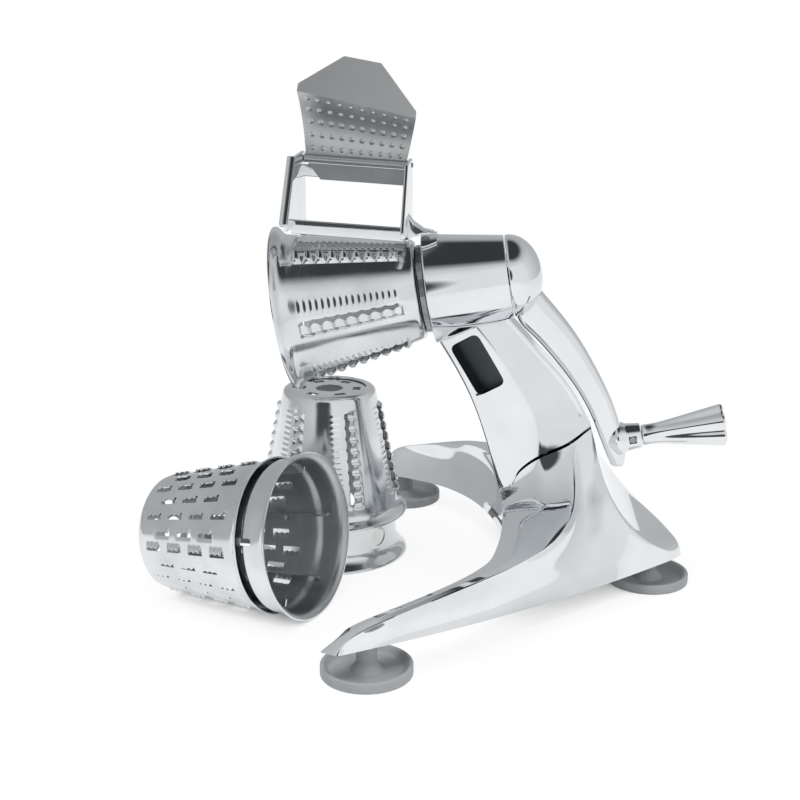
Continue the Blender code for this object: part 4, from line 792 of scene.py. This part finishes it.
def grip_mesh():
    """Lobes and hollows deepen towards the end; a bore and a washer seat run through."""
    stations = spline([Vector(s) for s in GRIP_SMOOTH], 8)
    stations += [Vector(s) for s in GRIP_RIM]
    steps = LOBES * 24
    rings = []
    for share, grow, flute in stations:
        radius = GRIP_NECK * grow if grow < 1.1 else GRIP_FLARED * grow / WIDEST
        ring = []
        for i in range(steps):
            angle = 2 * pi * i / steps
            dip = flute * HOLLOW * (0.5 - 0.5 * cos(LOBES * angle)) ** 1.4
            size = radius * (1 - dip)
            ring.append((size * cos(angle), size * sin(angle), GRIP_START + share * GRIP_LENGTH))
        rings.append(ring)
    for radius, height in ((0.0075, GRIP_END - 0.0002), (0.0070, GRIP_END - 0.0008),
                           (0.0070, GRIP_END - 0.0055), (GRIP_BORE, GRIP_END - 0.0055),
                           (GRIP_BORE, GRIP_START)):
        rings.append([(radius * cos(2 * pi * i / steps), radius * sin(2 * pi * i / steps), height)
                      for i in range(steps)])
    bm = bmesh.new()
    loops = [[bm.verts.new(p) for p in ring] for ring in rings]
    for a, b in zip(loops, loops[1:] + loops[:1]):
        for i in range(steps):
            j = (i + 1) % steps
            bm.faces.new((a[i], a[j], b[j], b[i]))
    return finished("grip", bm)


grip = put("handle_grip_skin", grip_mesh(), CHROME, HANDLE)
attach(grip, "handle")
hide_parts("handle_grip")


# Coarse drums: deep drawn stainless cones, each with six slots whose one edge is pressed up
# into nine scalloped teeth, and a pierced end disc that takes the drive hub's lugs.

# Bright rolled sheet: soft, slightly streaked reflections that waver a little. Its real rolling
# lines are finer than the render can show, so they are drawn a third of a millimetre wide.
STEEL = metal("Rolled_stainless_sheet", "E2E4E6", "C4C8CA", 0.35, (0.07, 0.18), 0.00035,
              (0.06, 0.06, 1.0), 0.018, wave_bump=0.05)
# The inner face is rougher, and its darker grey is painted shade inside the drums and collars.
STEEL_INSIDE_SHADED = metal("Rolled_stainless_rough_inside_painted_shade", "C2C6C8", "A9ADAF", 0.3, (0.32, 0.46), 0.00045,
                     (0.06, 0.06, 1.0), 0.020)
DRUM_SHEET = 0.0009
SECTORS = 6
DRUM_LENGTH = 0.0912
DRUM_BACK = 0.0214
TOOTH_LOW = 0.0130
TOOTH_HIGH = DRUM_LENGTH - 0.0095
TEETH = 9
PITCH = (TOOTH_HIGH - TOOTH_LOW) / TEETH
DRUM_SLOPE = (0.0317 + 0.0014 - 0.0484) / (DRUM_LENGTH - 0.0130)


def sheet_piece(name, mesh, place, thickness):
    """A drawn sheet piece: its skin thickened inwards, its inner face rougher and a darker grey, a painted
    shade.
    """
    made = put(name, mesh, STEEL, place)
    made.data.materials.append(STEEL_INSIDE_SHADED)
    wall = made.modifiers.new("sheet", "SOLIDIFY")
    wall.thickness = thickness
    wall.offset = -1
    wall.use_even_offset = True
    wall.material_offset = 1
    settle(made)
    return shade(made, 40)


def ring_grid(name, heights, columns, point, is_open):
    """A skin round Z from heights and column keys; open cells are left out."""
    bm = bmesh.new()
    grid = [[bm.verts.new(point(z, key)) for key in columns] for z in heights]
    count = len(columns)
    for row in range(len(heights) - 1):
        for col in range(count):
            nxt = (col + 1) % count
            if is_open((heights[row] + heights[row + 1]) / 2, columns[col]):
                continue
            bm.faces.new((grid[row][col], grid[row][nxt], grid[row + 1][nxt], grid[row + 1][col]))
    loose = [v for v in bm.verts if not v.link_faces]
    bmesh.ops.delete(bm, geom=loose, context="VERTS")
    mesh = bpy.data.meshes.new(name)
    bm.to_mesh(mesh)
    bm.free()
    mesh.shade_smooth()
    return mesh


def between(x, low, high):
    """0 below low, 1 above high, smooth between."""
    t = min(1.0, max(0.0, (x - low) / (high - low)))
    return t * t * (3 - 2 * t)


def profile_radius(table, z):
    """Radius at a height, straight between the table's rows."""
    for (z0, r0), (z1, r1) in zip(table, table[1:]):
        if z <= z1:
            return r0 + (r1 - r0) * max(0.0, z - z0) / (z1 - z0)
    return table[-1][1]


# Height over the mouth and outer radius: the rolled flange, the cone, the rounded far edge.
coarse_profile = [
    (0.0, 0.0550), (0.0005, 0.0550), (0.0012, 0.0547), (0.0022, 0.0536), (0.0034, 0.0520),
    (0.0046, 0.0505), (0.0060, 0.0494), (0.0080, 0.0487), (0.0105, 0.04825),
    (TOOTH_LOW, 0.0484 + DRUM_SLOPE * 0.003), (DRUM_LENGTH - 0.0050, 0.0331 - DRUM_SLOPE * 0.002),
    (DRUM_LENGTH - 0.0034, 0.0331), (DRUM_LENGTH - 0.0018, 0.0325), (DRUM_LENGTH - 0.0007, 0.0313),
    (DRUM_LENGTH - 0.0001, 0.0297), (DRUM_LENGTH, 0.0262)]
FLANGE_ROWS = 9
# Shares of one sector round the drum: the slot, the ramp up to the teeth, plain skin, flutes.
SLOT_SHARE = 0.085
RAMP_END = 0.215
FLUTE_START = 0.72
FLUTE_END = 0.92
EDGE_SHARES = [0.0, 0.045, SLOT_SHARE, 0.092, 0.10, 0.11, 0.122, 0.136, 0.15, 0.165, 0.18, 0.195,
               0.207, RAMP_END, 0.23, 0.26, 0.31, 0.38, 0.47, 0.56, 0.64, 0.69, FLUTE_START, 0.745,
               0.77, 0.80, 0.83, 0.86, 0.885, 0.905, FLUTE_END, 0.94, 0.97]


def coarse_point(z, key, phase):
    """Where the drum's skin lies at a height and a share of one of its six sectors."""
    sector, share = key
    radius = profile_radius(coarse_profile, z)
    angle = phase + 2 * pi / SECTORS * (sector + share - SLOT_SHARE)
    inside = between(z, TOOTH_LOW, TOOTH_LOW + 0.003) * (1 - between(z, TOOTH_HIGH - 0.003, TOOTH_HIGH))
    wave = abs(sin(pi * (z - TOOTH_LOW) / PITCH))
    if SLOT_SHARE <= share <= RAMP_END:
        near = (RAMP_END - share) / (RAMP_END - SLOT_SHARE)
        body = sin(pi / 2 * min(1.0, near * 1.8))
        radius += (0.0004 + 0.0024 * wave ** 0.8) * body * inside
        angle += (0.004 - 0.062 * wave ** 1.2) * near ** 3 * inside
    elif FLUTE_START <= share <= FLUTE_END:
        across = sin(pi * (share - FLUTE_START) / (FLUTE_END - FLUTE_START)) ** 0.7
        radius += 0.0003 * (0.5 + 0.5 * cos(4 * pi * (z - TOOTH_LOW) / PITCH)) * across * inside
    elif share < SLOT_SHARE:
        radius -= 0.0004 * inside
    return (radius * cos(angle), radius * sin(angle), z)


def coarse_open(z, key):
    """The slots between a tooth edge and the skin before it."""
    return key[1] < SLOT_SHARE and TOOTH_LOW + PITCH / 2 < z < TOOTH_HIGH - PITCH / 2


DISC_BORE = 0.0096
LUG_NEAR = 0.0168
LUG_FAR = 0.0222
LUG_HALF = 0.0041
LUG_CORNER = 0.0012
DISC_SUNK = 0.0014


def end_disc(name, outer, place, phase, top):
    """The pierced end disc, seated inside the drum's end lip."""
    outline = softened([(DISC_BORE, top - DRUM_SHEET, 0), (outer, top - DRUM_SHEET, 0),
                        (outer, top, 0.0003), (DISC_BORE, top, 0.0003)], 3)
    disc = put(name, turned(name, outline, 96), STEEL, place)
    opening = softened([(LUG_NEAR, -LUG_HALF, LUG_CORNER), (LUG_FAR, -LUG_HALF, LUG_CORNER),
                        (LUG_FAR, LUG_HALF, LUG_CORNER), (LUG_NEAR, LUG_HALF, LUG_CORNER)], 4)
    for k in range(SECTORS):
        hole = prism("hole", opening, 2, top - 0.003, top + 0.003)
        combine(disc, "DIFFERENCE", hole, place @ Matrix.Rotation(phase + pi / 3 * k, 4, "Z"))
    return shade(disc)


COARSE_DISC = 0.0294


def coarse_drum(name, node_name, body, place, phase):
    """A drum and its end disc on one body."""
    heights = [row[0] for row in coarse_profile[:FLANGE_ROWS]]
    heights += [TOOTH_LOW + PITCH / 12 * k for k in range(12 * TEETH + 1)]
    heights += [row[0] for row in coarse_profile[FLANGE_ROWS + 1:]]
    columns = [(sector, share) for sector in range(SECTORS) for share in EDGE_SHARES]
    skin = ring_grid(name, heights, columns, lambda z, key: coarse_point(z, key, phase), coarse_open)
    drum = sheet_piece(name, skin, place, DRUM_SHEET)
    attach(drum, body)
    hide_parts(node_name)
    disc = end_disc(name + "_disc", COARSE_DISC, place, phase, DRUM_LENGTH - DISC_SUNK)
    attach(disc, body)
    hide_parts(node_name + "_end")


MOUNTED = SHAFT @ Matrix.Translation((0, 0, DRUM_BACK - DRUM_LENGTH))
coarse_drum("mounted_drum_skin", "cutting_drum", "drum", MOUNTED, radians(277))
STANDING = MACHINE @ Matrix.Translation((-0.0473, 0.0430, 0))
SPARE_COLLAR = 0.0310
coarse_drum("standing_drum_skin", "spare_drum", "spare",
            STANDING @ Matrix.Translation((0, 0, SPARE_COLLAR)), radians(300))


# Collars: short flanged rings of the same sheet, plugged into the spare drums' mouths. Locking
# lugs go into round holes in the standing one's neck, and into a notch in the lying one's.

COLLAR_SHEET = 0.0010
COLLAR_STEPS = 144


def collar(name, node_name, body, place, outline):
    """A turned ring of sheet whose neck plugs into a drum."""

    def point(z, key):
        radius = profile_radius(outline, z)
        angle = 2 * pi * key / COLLAR_STEPS
        return (radius * cos(angle), radius * sin(angle), z)

    heights = [row[0] for row in outline]
    skin = ring_grid(name, heights, list(range(COLLAR_STEPS)), point, lambda z, key: False)
    ring = sheet_piece(name, skin, place, COLLAR_SHEET)
    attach(ring, body)
    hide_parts(node_name)
    return ring


PLUG_DEPTH = 0.0085
PLUG_RADIUS = 0.0466
standing_rows = [(0.0, 0.0550), (0.0005, 0.0550), (0.0012, 0.0547), (0.0024, 0.0535), (0.0040, 0.0517),
                 (0.0062, 0.0496), (0.0085, 0.0482), (0.0120, 0.0472), (0.0190, 0.0471),
                 (0.0260, 0.0470), (SPARE_COLLAR - 0.0010, 0.0469),
                 (SPARE_COLLAR + PLUG_DEPTH, PLUG_RADIUS)]
standing_collar = collar("standing_collar_skin", "spare_drum_collar", "spare", STANDING, standing_rows)
LUG_HOLE = 0.0068
LUG_HOLE_HEIGHT = SPARE_COLLAR * 0.65
for angle in (radians(-37), radians(83), radians(203)):
    turn = Matrix.Translation((0, 0, LUG_HOLE_HEIGHT)) @ Matrix.Rotation(angle, 4, "Z")
    combine(standing_collar, "DIFFERENCE", rod("hole", LUG_HOLE, 0.041, 0.053),
            STANDING @ turn @ Matrix.Rotation(pi / 2, 4, "Y"))
shade(standing_collar, 40)


# Fine drum: the same kind of cone of the same sheet, with twenty-four rows of short slots, each
# under a raised lip of three small teeth. It lies on the table with its collar's mouth to the camera.

FINE_YAW = radians(-21.2)
FINE_COLLAR = 0.0225
FINE_LENGTH = 0.0858
FINE_LOW = 0.0112
FINE_PITCH = 0.0180
FINE_ROWS = 24
# A slot takes two thirds of its pitch; odd rows hold three and are set half a pitch on.
FINE_CUT = 0.6667
FINE_TOOTH = 0.2222
EVEN_SLOTS = 4
ODD_SLOTS = 3
# Shares of one row round the drum: the slot, and the end of the lip beside it.
FINE_SLOT = 0.30
FINE_LIP_END = 0.56
FINE_SHEET = 0.0008
FINE_DISC = 0.0345
FINE_SLOPE = (0.0382 - 0.0484) / (FINE_LENGTH - 0.0110)
fine_profile = [
    (0.0, 0.0508), (0.0005, 0.0510), (0.0012, 0.0509), (0.0024, 0.0499), (0.0040, 0.0489),
    (0.0056, 0.0486), (0.0070, 0.0484), (FINE_LENGTH - 0.0060, 0.0382 - FINE_SLOPE * 0.002),
    (FINE_LENGTH - 0.0042, 0.0381), (FINE_LENGTH - 0.0024, 0.0374), (FINE_LENGTH - 0.0010, 0.0360),
    (FINE_LENGTH - 0.0002, 0.0340), (FINE_LENGTH, 0.0310)]
FINE_FLANGE_ROWS = 7
FINE_SHARES = [0.0, 0.15, FINE_SLOT, 0.335, 0.375, 0.43, 0.49, FINE_LIP_END, 0.70, 0.85]


def fine_cell(z, row):
    """Share of the way along a slot's pitch, or None outside the slots."""
    place = (z - FINE_LOW) / FINE_PITCH - (0.5 if row % 2 else 0.0)
    if place < 0 or place >= (ODD_SLOTS if row % 2 else EVEN_SLOTS):
        return None
    return place - floor(place)


def fine_point(z, key):
    """Where the fine drum's skin lies at a height and a share of one of its rows."""
    row, share = key
    radius = profile_radius(fine_profile, z)
    angle = 2 * pi / FINE_ROWS * (row + share)
    along = fine_cell(z, row)
    in_cut = along is not None and along <= FINE_CUT
    if in_cut and FINE_SLOT <= share <= FINE_LIP_END:
        near = (FINE_LIP_END - share) / (FINE_LIP_END - FINE_SLOT)
        ends = between(along, 0.0, 0.05) * (1 - between(along, 0.61, FINE_CUT))
        tooth = abs(sin(pi * along / FINE_TOOTH))
        radius += (0.0006 * near + 0.0009 * tooth * near ** 1.2) * ends
        angle -= (0.004 + 0.022 * tooth) * near ** 3 * ends
    elif in_cut and share == 0.0:
        radius -= 0.0004
    return (radius * cos(angle), radius * sin(angle), z)


def fine_open(z, key):
    """The short slots of one row."""
    row, share = key
    along = fine_cell(z, row)
    return share < FINE_SLOT and along is not None and along < FINE_CUT


fine_heights = [row[0] for row in fine_profile[:FINE_FLANGE_ROWS]] + [0.0090]
fine_heights += [FINE_LOW + FINE_PITCH / 24 * k for k in range(int(3.75 * 24) + 1)]
fine_heights += [row[0] for row in fine_profile[FINE_FLANGE_ROWS:]]
fine_columns = [(row, share) for row in range(FINE_ROWS) for share in FINE_SHARES]
FINE_RIM = 0.0540
LYING_TILT = radians(7.483)
LYING = (MACHINE @ Matrix.Translation((-0.0399 - FINE_RIM * sin(LYING_TILT) * cos(FINE_YAW),
                                       -0.0770 - FINE_RIM * sin(LYING_TILT) * sin(FINE_YAW),
                                       FINE_RIM * cos(LYING_TILT) + 0.0003))
         @ Matrix.Rotation(FINE_YAW, 4, "Z") @ Matrix.Rotation(-pi / 2 - LYING_TILT, 4, "Y"))
LYING_DRUM = LYING @ Matrix.Translation((0, 0, FINE_COLLAR))
fine_skin = ring_grid("fine", fine_heights, fine_columns, fine_point, fine_open)
fine = sheet_piece("lying_drum_skin", fine_skin, LYING_DRUM, FINE_SHEET)
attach(fine, "fine")
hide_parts("fine_drum")
disc = end_disc("lying_drum_disc", FINE_DISC, LYING_DRUM, 0.0, FINE_LENGTH - DISC_SUNK)
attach(disc, "fine")
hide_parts("fine_drum_end")
lying_rows = [(0.0, FINE_RIM), (0.0005, FINE_RIM), (0.0011, 0.0538), (0.0018, 0.0524), (0.0024, 0.0515),
              (0.0034, 0.0506), (0.0060, 0.0500), (0.0110, 0.0497), (FINE_COLLAR - 0.0060, 0.0496),
              (FINE_COLLAR - 0.0050, 0.0494), (FINE_COLLAR - 0.0035, 0.0484),
              (FINE_COLLAR - 0.0022, 0.0474), (FINE_COLLAR - 0.0010, 0.0469),
              (FINE_COLLAR + PLUG_DEPTH, PLUG_RADIUS)]
lying_collar = collar("lying_collar_skin", "fine_drum_collar", "fine", LYING, lying_rows)
NOTCH_START = 0.0120
NOTCH_END = FINE_COLLAR - 0.0008
NOTCH_HALF = 0.0024
notch_outline = softened([(NOTCH_START, -NOTCH_HALF, 0.0023), (NOTCH_END, -NOTCH_HALF, 0),
                          (NOTCH_END, NOTCH_HALF, 0), (NOTCH_START, NOTCH_HALF, 0.0023)])
notch_place = (LYING @ Matrix.Rotation(radians(-76), 4, "Z") @ Matrix.Rotation(pi / 2, 4, "Y")
               @ Matrix.Scale(-1, 4, (1, 0, 0)))
combine(lying_collar, "DIFFERENCE", prism("notch", notch_outline, 2, 0.044, 0.056), notch_place)
shade(lying_collar, 40)


# Ribs inside the lying drum: six strips of the same sheet that stand in from its wall.
# They run from inside the collar along half the drum and taper with it.

RIB_HALF = 0.0007
RIB_OUTLINE = [(0.0412, 0.0100), (0.0458, 0.0100), (0.0458, 0.0310), (0.0440, 0.0420),
               (0.0412, 0.0640), (0.0370, 0.0640)]
for k in range(6):
    strip = put("lying_drum_rib_%d" % k, prism("rib", RIB_OUTLINE, 1, -RIB_HALF, RIB_HALF), STEEL,
                LYING @ Matrix.Rotation(radians(30 + 60 * k), 4, "Z"))
    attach(strip, "fine")


# Hopper: a chromed zinc casting screwed to the top of the barrel; two upright side walls with
# rounded edges, two bars behind, a front rail over the drum and a wing down to the barrel.

HINGE = (-0.0259, 0.0350, 0.2812)
HINGE_FALL = radians(3.66)
HOPPER = MACHINE @ Matrix.Translation(HINGE)
HINGE_FRAME = HOPPER @ Matrix.Rotation(HINGE_FALL, 4, "Y")
WALL_INNER = 0.0354
WALL_OUTER = 0.0378
WALL_EDGE = 0.0006
BAR_END = WALL_INNER + 0.0006
BAR_CORNER = 0.0008
PIN_BORE = 0.0018
# The side walls' outline: across from the hinge line, and up from it, with a corner radius.
WALL_OUTLINE = [(0.0062, 0.0042, 0.0030), (-0.0360, 0.0036, 0.0030), (-0.0745, -0.0350, 0.0015),
                (-0.0745, -0.0392, 0.0015), (-0.0250, -0.0430, 0), (0.0062, -0.0530, 0.0015)]


def rounded_block(name, outline, axis, low, high, radius):
    """A prism with rounded long edges."""
    made = put(name, prism(name, outline, axis, low, high), None, Matrix.Identity(4))
    edge = made.modifiers.new("edge", "BEVEL")
    edge.width = radius
    edge.segments = 4
    edge.limit_method = "ANGLE"
    edge.angle_limit = radians(40)
    settle(made)
    mesh = made.data
    bpy.data.objects.remove(made, do_unlink=True)
    return mesh


def falling(mesh):
    """Let a hopper shape fall with the hinge line while its walls stay upright."""
    fall = Matrix.Identity(4)
    fall[2][0] = -tan(HINGE_FALL)
    mesh.transform(fall)
    return mesh


def rectangle(low, high, radius):
    """Outline corners of a rectangle with one corner radius."""
    (x0, y0), (x1, y1) = low, high
    return softened([(x0, y0, radius), (x1, y0, radius), (x1, y1, radius), (x0, y1, radius)], 4)


wall = softened(WALL_OUTLINE)
left_wall = rounded_block("left_wall", wall, 0, -WALL_OUTER, -WALL_INNER, WALL_EDGE)
hopper = put("hopper_casting", falling(left_wall), CHROME, HOPPER)
right_wall = rounded_block("right_wall", wall, 0, WALL_INNER, WALL_OUTER, WALL_EDGE)
combine(hopper, "UNION", falling(right_wall), HOPPER)
# Two bars join the walls behind, and a rail joins them in front.
BARS = (("back_bar", (0.0036, -0.0130), (0.0062, -0.0048)),
        ("back_bar", (0.0036, -0.0530), (0.0062, -0.0490)),
        ("front_rail", (-0.0575, -0.0430), (-0.0550, -0.0340)))
for name, low, high in BARS:
    bar = prism(name, rectangle(low, high, BAR_CORNER), 0, -BAR_END, BAR_END)
    combine(hopper, "UNION", falling(bar), HOPPER)
# The left wall's sloping front edge is thickened outwards into a flange.
FLANGE_DEEP = 0.0026
FLANGE_PROUD = 0.0003
edge_top = Vector(WALL_OUTLINE[1][:2])
edge_low = Vector(WALL_OUTLINE[2][:2])
outward = Vector((edge_low.y - edge_top.y, edge_top.x - edge_low.x)).normalized()
along_edge = (edge_low - edge_top).normalized() * 0.0006
corners = [edge_top - along_edge - outward * FLANGE_DEEP, edge_top - along_edge + outward * FLANGE_PROUD,
           edge_low + along_edge + outward * FLANGE_PROUD, edge_low + along_edge - outward * FLANGE_DEEP]
flange = rounded_block("flange", [(c.x, c.y) for c in corners], 0, -WALL_OUTER - 0.0032,
                       -WALL_INNER - 0.0005, 0.0008)
combine(hopper, "UNION", falling(flange), HOPPER)
# A wing runs down from the right wall to the barrel.
GUSSET = [(0.0372, -0.0300), (0.0416, -0.0355), (0.0481, -0.0400), (0.0551, -0.0415),
          (0.0551, -0.0470), (0.0372, -0.0500)]
GUSSET_HALF = 0.0060
gusset = rounded_block("gusset", GUSSET, 1, -HINGE[1] - GUSSET_HALF, -HINGE[1] + GUSSET_HALF, 0.0010)
combine(hopper, "UNION", gusset, HOPPER)
# Room for the turning drum, and for the barrel that the saddle is screwed to.
drum_space = [(0, -0.004), (0.0562, -0.004), (0.0562, 0.003), (0.0524, 0.009), (0.0367, DRUM_LENGTH - 0.005),
              (0.0329, DRUM_LENGTH + 0.002), (0, DRUM_LENGTH + 0.002)]
combine(hopper, "DIFFERENCE", turned("drum_space", drum_space, 128), MOUNTED)
combine(hopper, "DIFFERENCE", turned("barrel_space", barrel_space, 128), SHAFT)
SADDLE = [(0.0270, radians(34)), (0.0300, radians(33)), (0.0335, radians(30)), (0.0370, radians(26))]
combine(hopper, "UNION", barrel_patch("saddle", SADDLE, 0.0015, True), SHAFT)
SCREW_HOLE = 0.0029
SCREW_PLACE = SHAFT @ Matrix.Translation((0, 0, 0.0300))
for angle in (radians(20), radians(-20)):
    hole = rod("screw_hole", SCREW_HOLE, 0.0330, 0.0420, 32)
    combine(hopper, "DIFFERENCE", hole,
            SCREW_PLACE @ Matrix.Rotation(angle, 4, "Z") @ Matrix.Rotation(-pi / 2, 4, "Y"))
PIN_LINE = HINGE_FRAME @ Matrix.Rotation(pi / 2, 4, "Y")
combine(hopper, "DIFFERENCE", rod("hinge_bore", PIN_BORE, -WALL_OUTER - 0.004, WALL_OUTER + 0.004), PIN_LINE)
shade(hopper, 32)
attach(hopper, "stand")
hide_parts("hopper")


# Pusher: satin stainless plate with five rows of pressed dimples, curved like the drum, its
# top folded back into a flat palm flange, its foot rolled round the hinge pin.

# Satin sheet gives a broad, even grey gloss; its brushing is drawn coarser so that it shows.
PLATE = metal("Satin_stainless_plate", "BDBFC0", "A9ABAD", 0.3, (0.30, 0.42), 0.00040,
              (1.0, 0.08, 0.08), 0.010)
PLATE_SHEET = 0.0014
KNUCKLE_RADIUS = 0.0030
BEND_LEFT = 0.0500
BEND_RIGHT = 0.0358
CURVE_START = radians(-6)
CURVE_END = radians(52)
KNUCKLE_HALF = 0.0350
PLATE_HALF = KNUCKLE_HALF - 0.0006
WIDEN = 0.0048
STRAIGHT = 0.12
DIMPLE_COLUMNS = 10
DIMPLE_ROWS = 5
COLUMN_SHARE = 10.6
ROW_SHARE = 5.35
DIMPLE_REACH = 0.0017
DIMPLE_HEIGHT = 0.0011
PALM_LEAN = radians(12)
PALM_STEPS = 12
# The palm flange's outline: share of half the plate's width, and height over the fold.
PALM = [(-1.00, 0.0045), (-0.26, 0.0290), (0.36, 0.0300), (1.00, 0.0045)]


def pusher_mesh():
    """A fine grid over the curved plate, its dimples, the fold and the palm flange."""
    across = 132
    up = 96
    bm = bmesh.new()

    def bent(share, climb):
        bend = BEND_LEFT + (BEND_RIGHT - BEND_LEFT) * share
        angle = CURVE_START + (CURVE_END - CURVE_START) * climb
        rise = (sin(angle) - sin(CURVE_START)) / (sin(CURVE_END) - sin(CURVE_START))
        flare = WIDEN * max(0.0, rise - STRAIGHT) / (1 - STRAIGHT)
        x = (2 * share - 1) * (PLATE_HALF + flare)
        y = -bend * (cos(CURVE_START) - cos(angle)) - 0.0012
        z = bend * (sin(angle) - sin(CURVE_START))
        return Vector((x, y, z)), Vector((0, -cos(angle), -sin(angle)))

    rows = []
    for j in range(up + 1):
        climb = j / up
        row = []
        for i in range(across + 1):
            share = i / across
            place, face = bent(share, climb)
            width = 2 * (KNUCKLE_HALF + WIDEN * climb)
            tall = (BEND_LEFT + (BEND_RIGHT - BEND_LEFT) * share) * (CURVE_END - CURVE_START)
            column = share * COLUMN_SHARE - 0.30
            level = climb * ROW_SHARE - 0.25
            du = (column - floor(column) - 0.5) * width / COLUMN_SHARE
            dv = (level - floor(level) - 0.5) * tall / ROW_SHARE
            if 0 <= floor(column) < DIMPLE_COLUMNS and 0 <= floor(level) < DIMPLE_ROWS:
                reach = hypot(du, dv) / DIMPLE_REACH
                if reach < 1:
                    place = place + face * DIMPLE_HEIGHT * (1 - reach * reach) ** 1.5
            row.append(bm.verts.new(place))
        rows.append(row)
    half = PLATE_HALF + WIDEN
    lean = Vector((0, sin(PALM_LEAN), cos(PALM_LEAN)))
    top = [v.co.copy() for v in rows[-1]]
    for k in range(1, PALM_STEPS + 1):
        row = []
        for i, foot in enumerate(top):
            share = foot.x / half
            rise = 0.0
            for (s0, r0), (s1, r1) in zip(PALM, PALM[1:]):
                if s0 <= share <= s1 + 1e-6:
                    rise = r0 + (r1 - r0) * (share - s0) / (s1 - s0)
                    break
            row.append(bm.verts.new(foot + lean * rise * k / PALM_STEPS))
        rows.append(row)
    for low_row, high_row in zip(rows, rows[1:]):
        for i in range(across):
            bm.faces.new((low_row[i], low_row[i + 1], high_row[i + 1], high_row[i]))
    mesh = bpy.data.meshes.new("pusher")
    bm.to_mesh(mesh)
    bm.free()
    return mesh


pusher = sheet_piece("pusher_plate_skin", pusher_mesh(), HINGE_FRAME, PLATE_SHEET)
combine(pusher, "UNION", rod("knuckle", KNUCKLE_RADIUS, -KNUCKLE_HALF, KNUCKLE_HALF), PIN_LINE)
combine(pusher, "DIFFERENCE", rod("bore", PIN_BORE, -KNUCKLE_HALF - 0.002, KNUCKLE_HALF + 0.002), PIN_LINE)
pusher.data.materials.clear()
pusher.data.materials.append(PLATE)
shade(pusher, 40)
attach(pusher, "pusher")
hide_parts("pusher_plate")
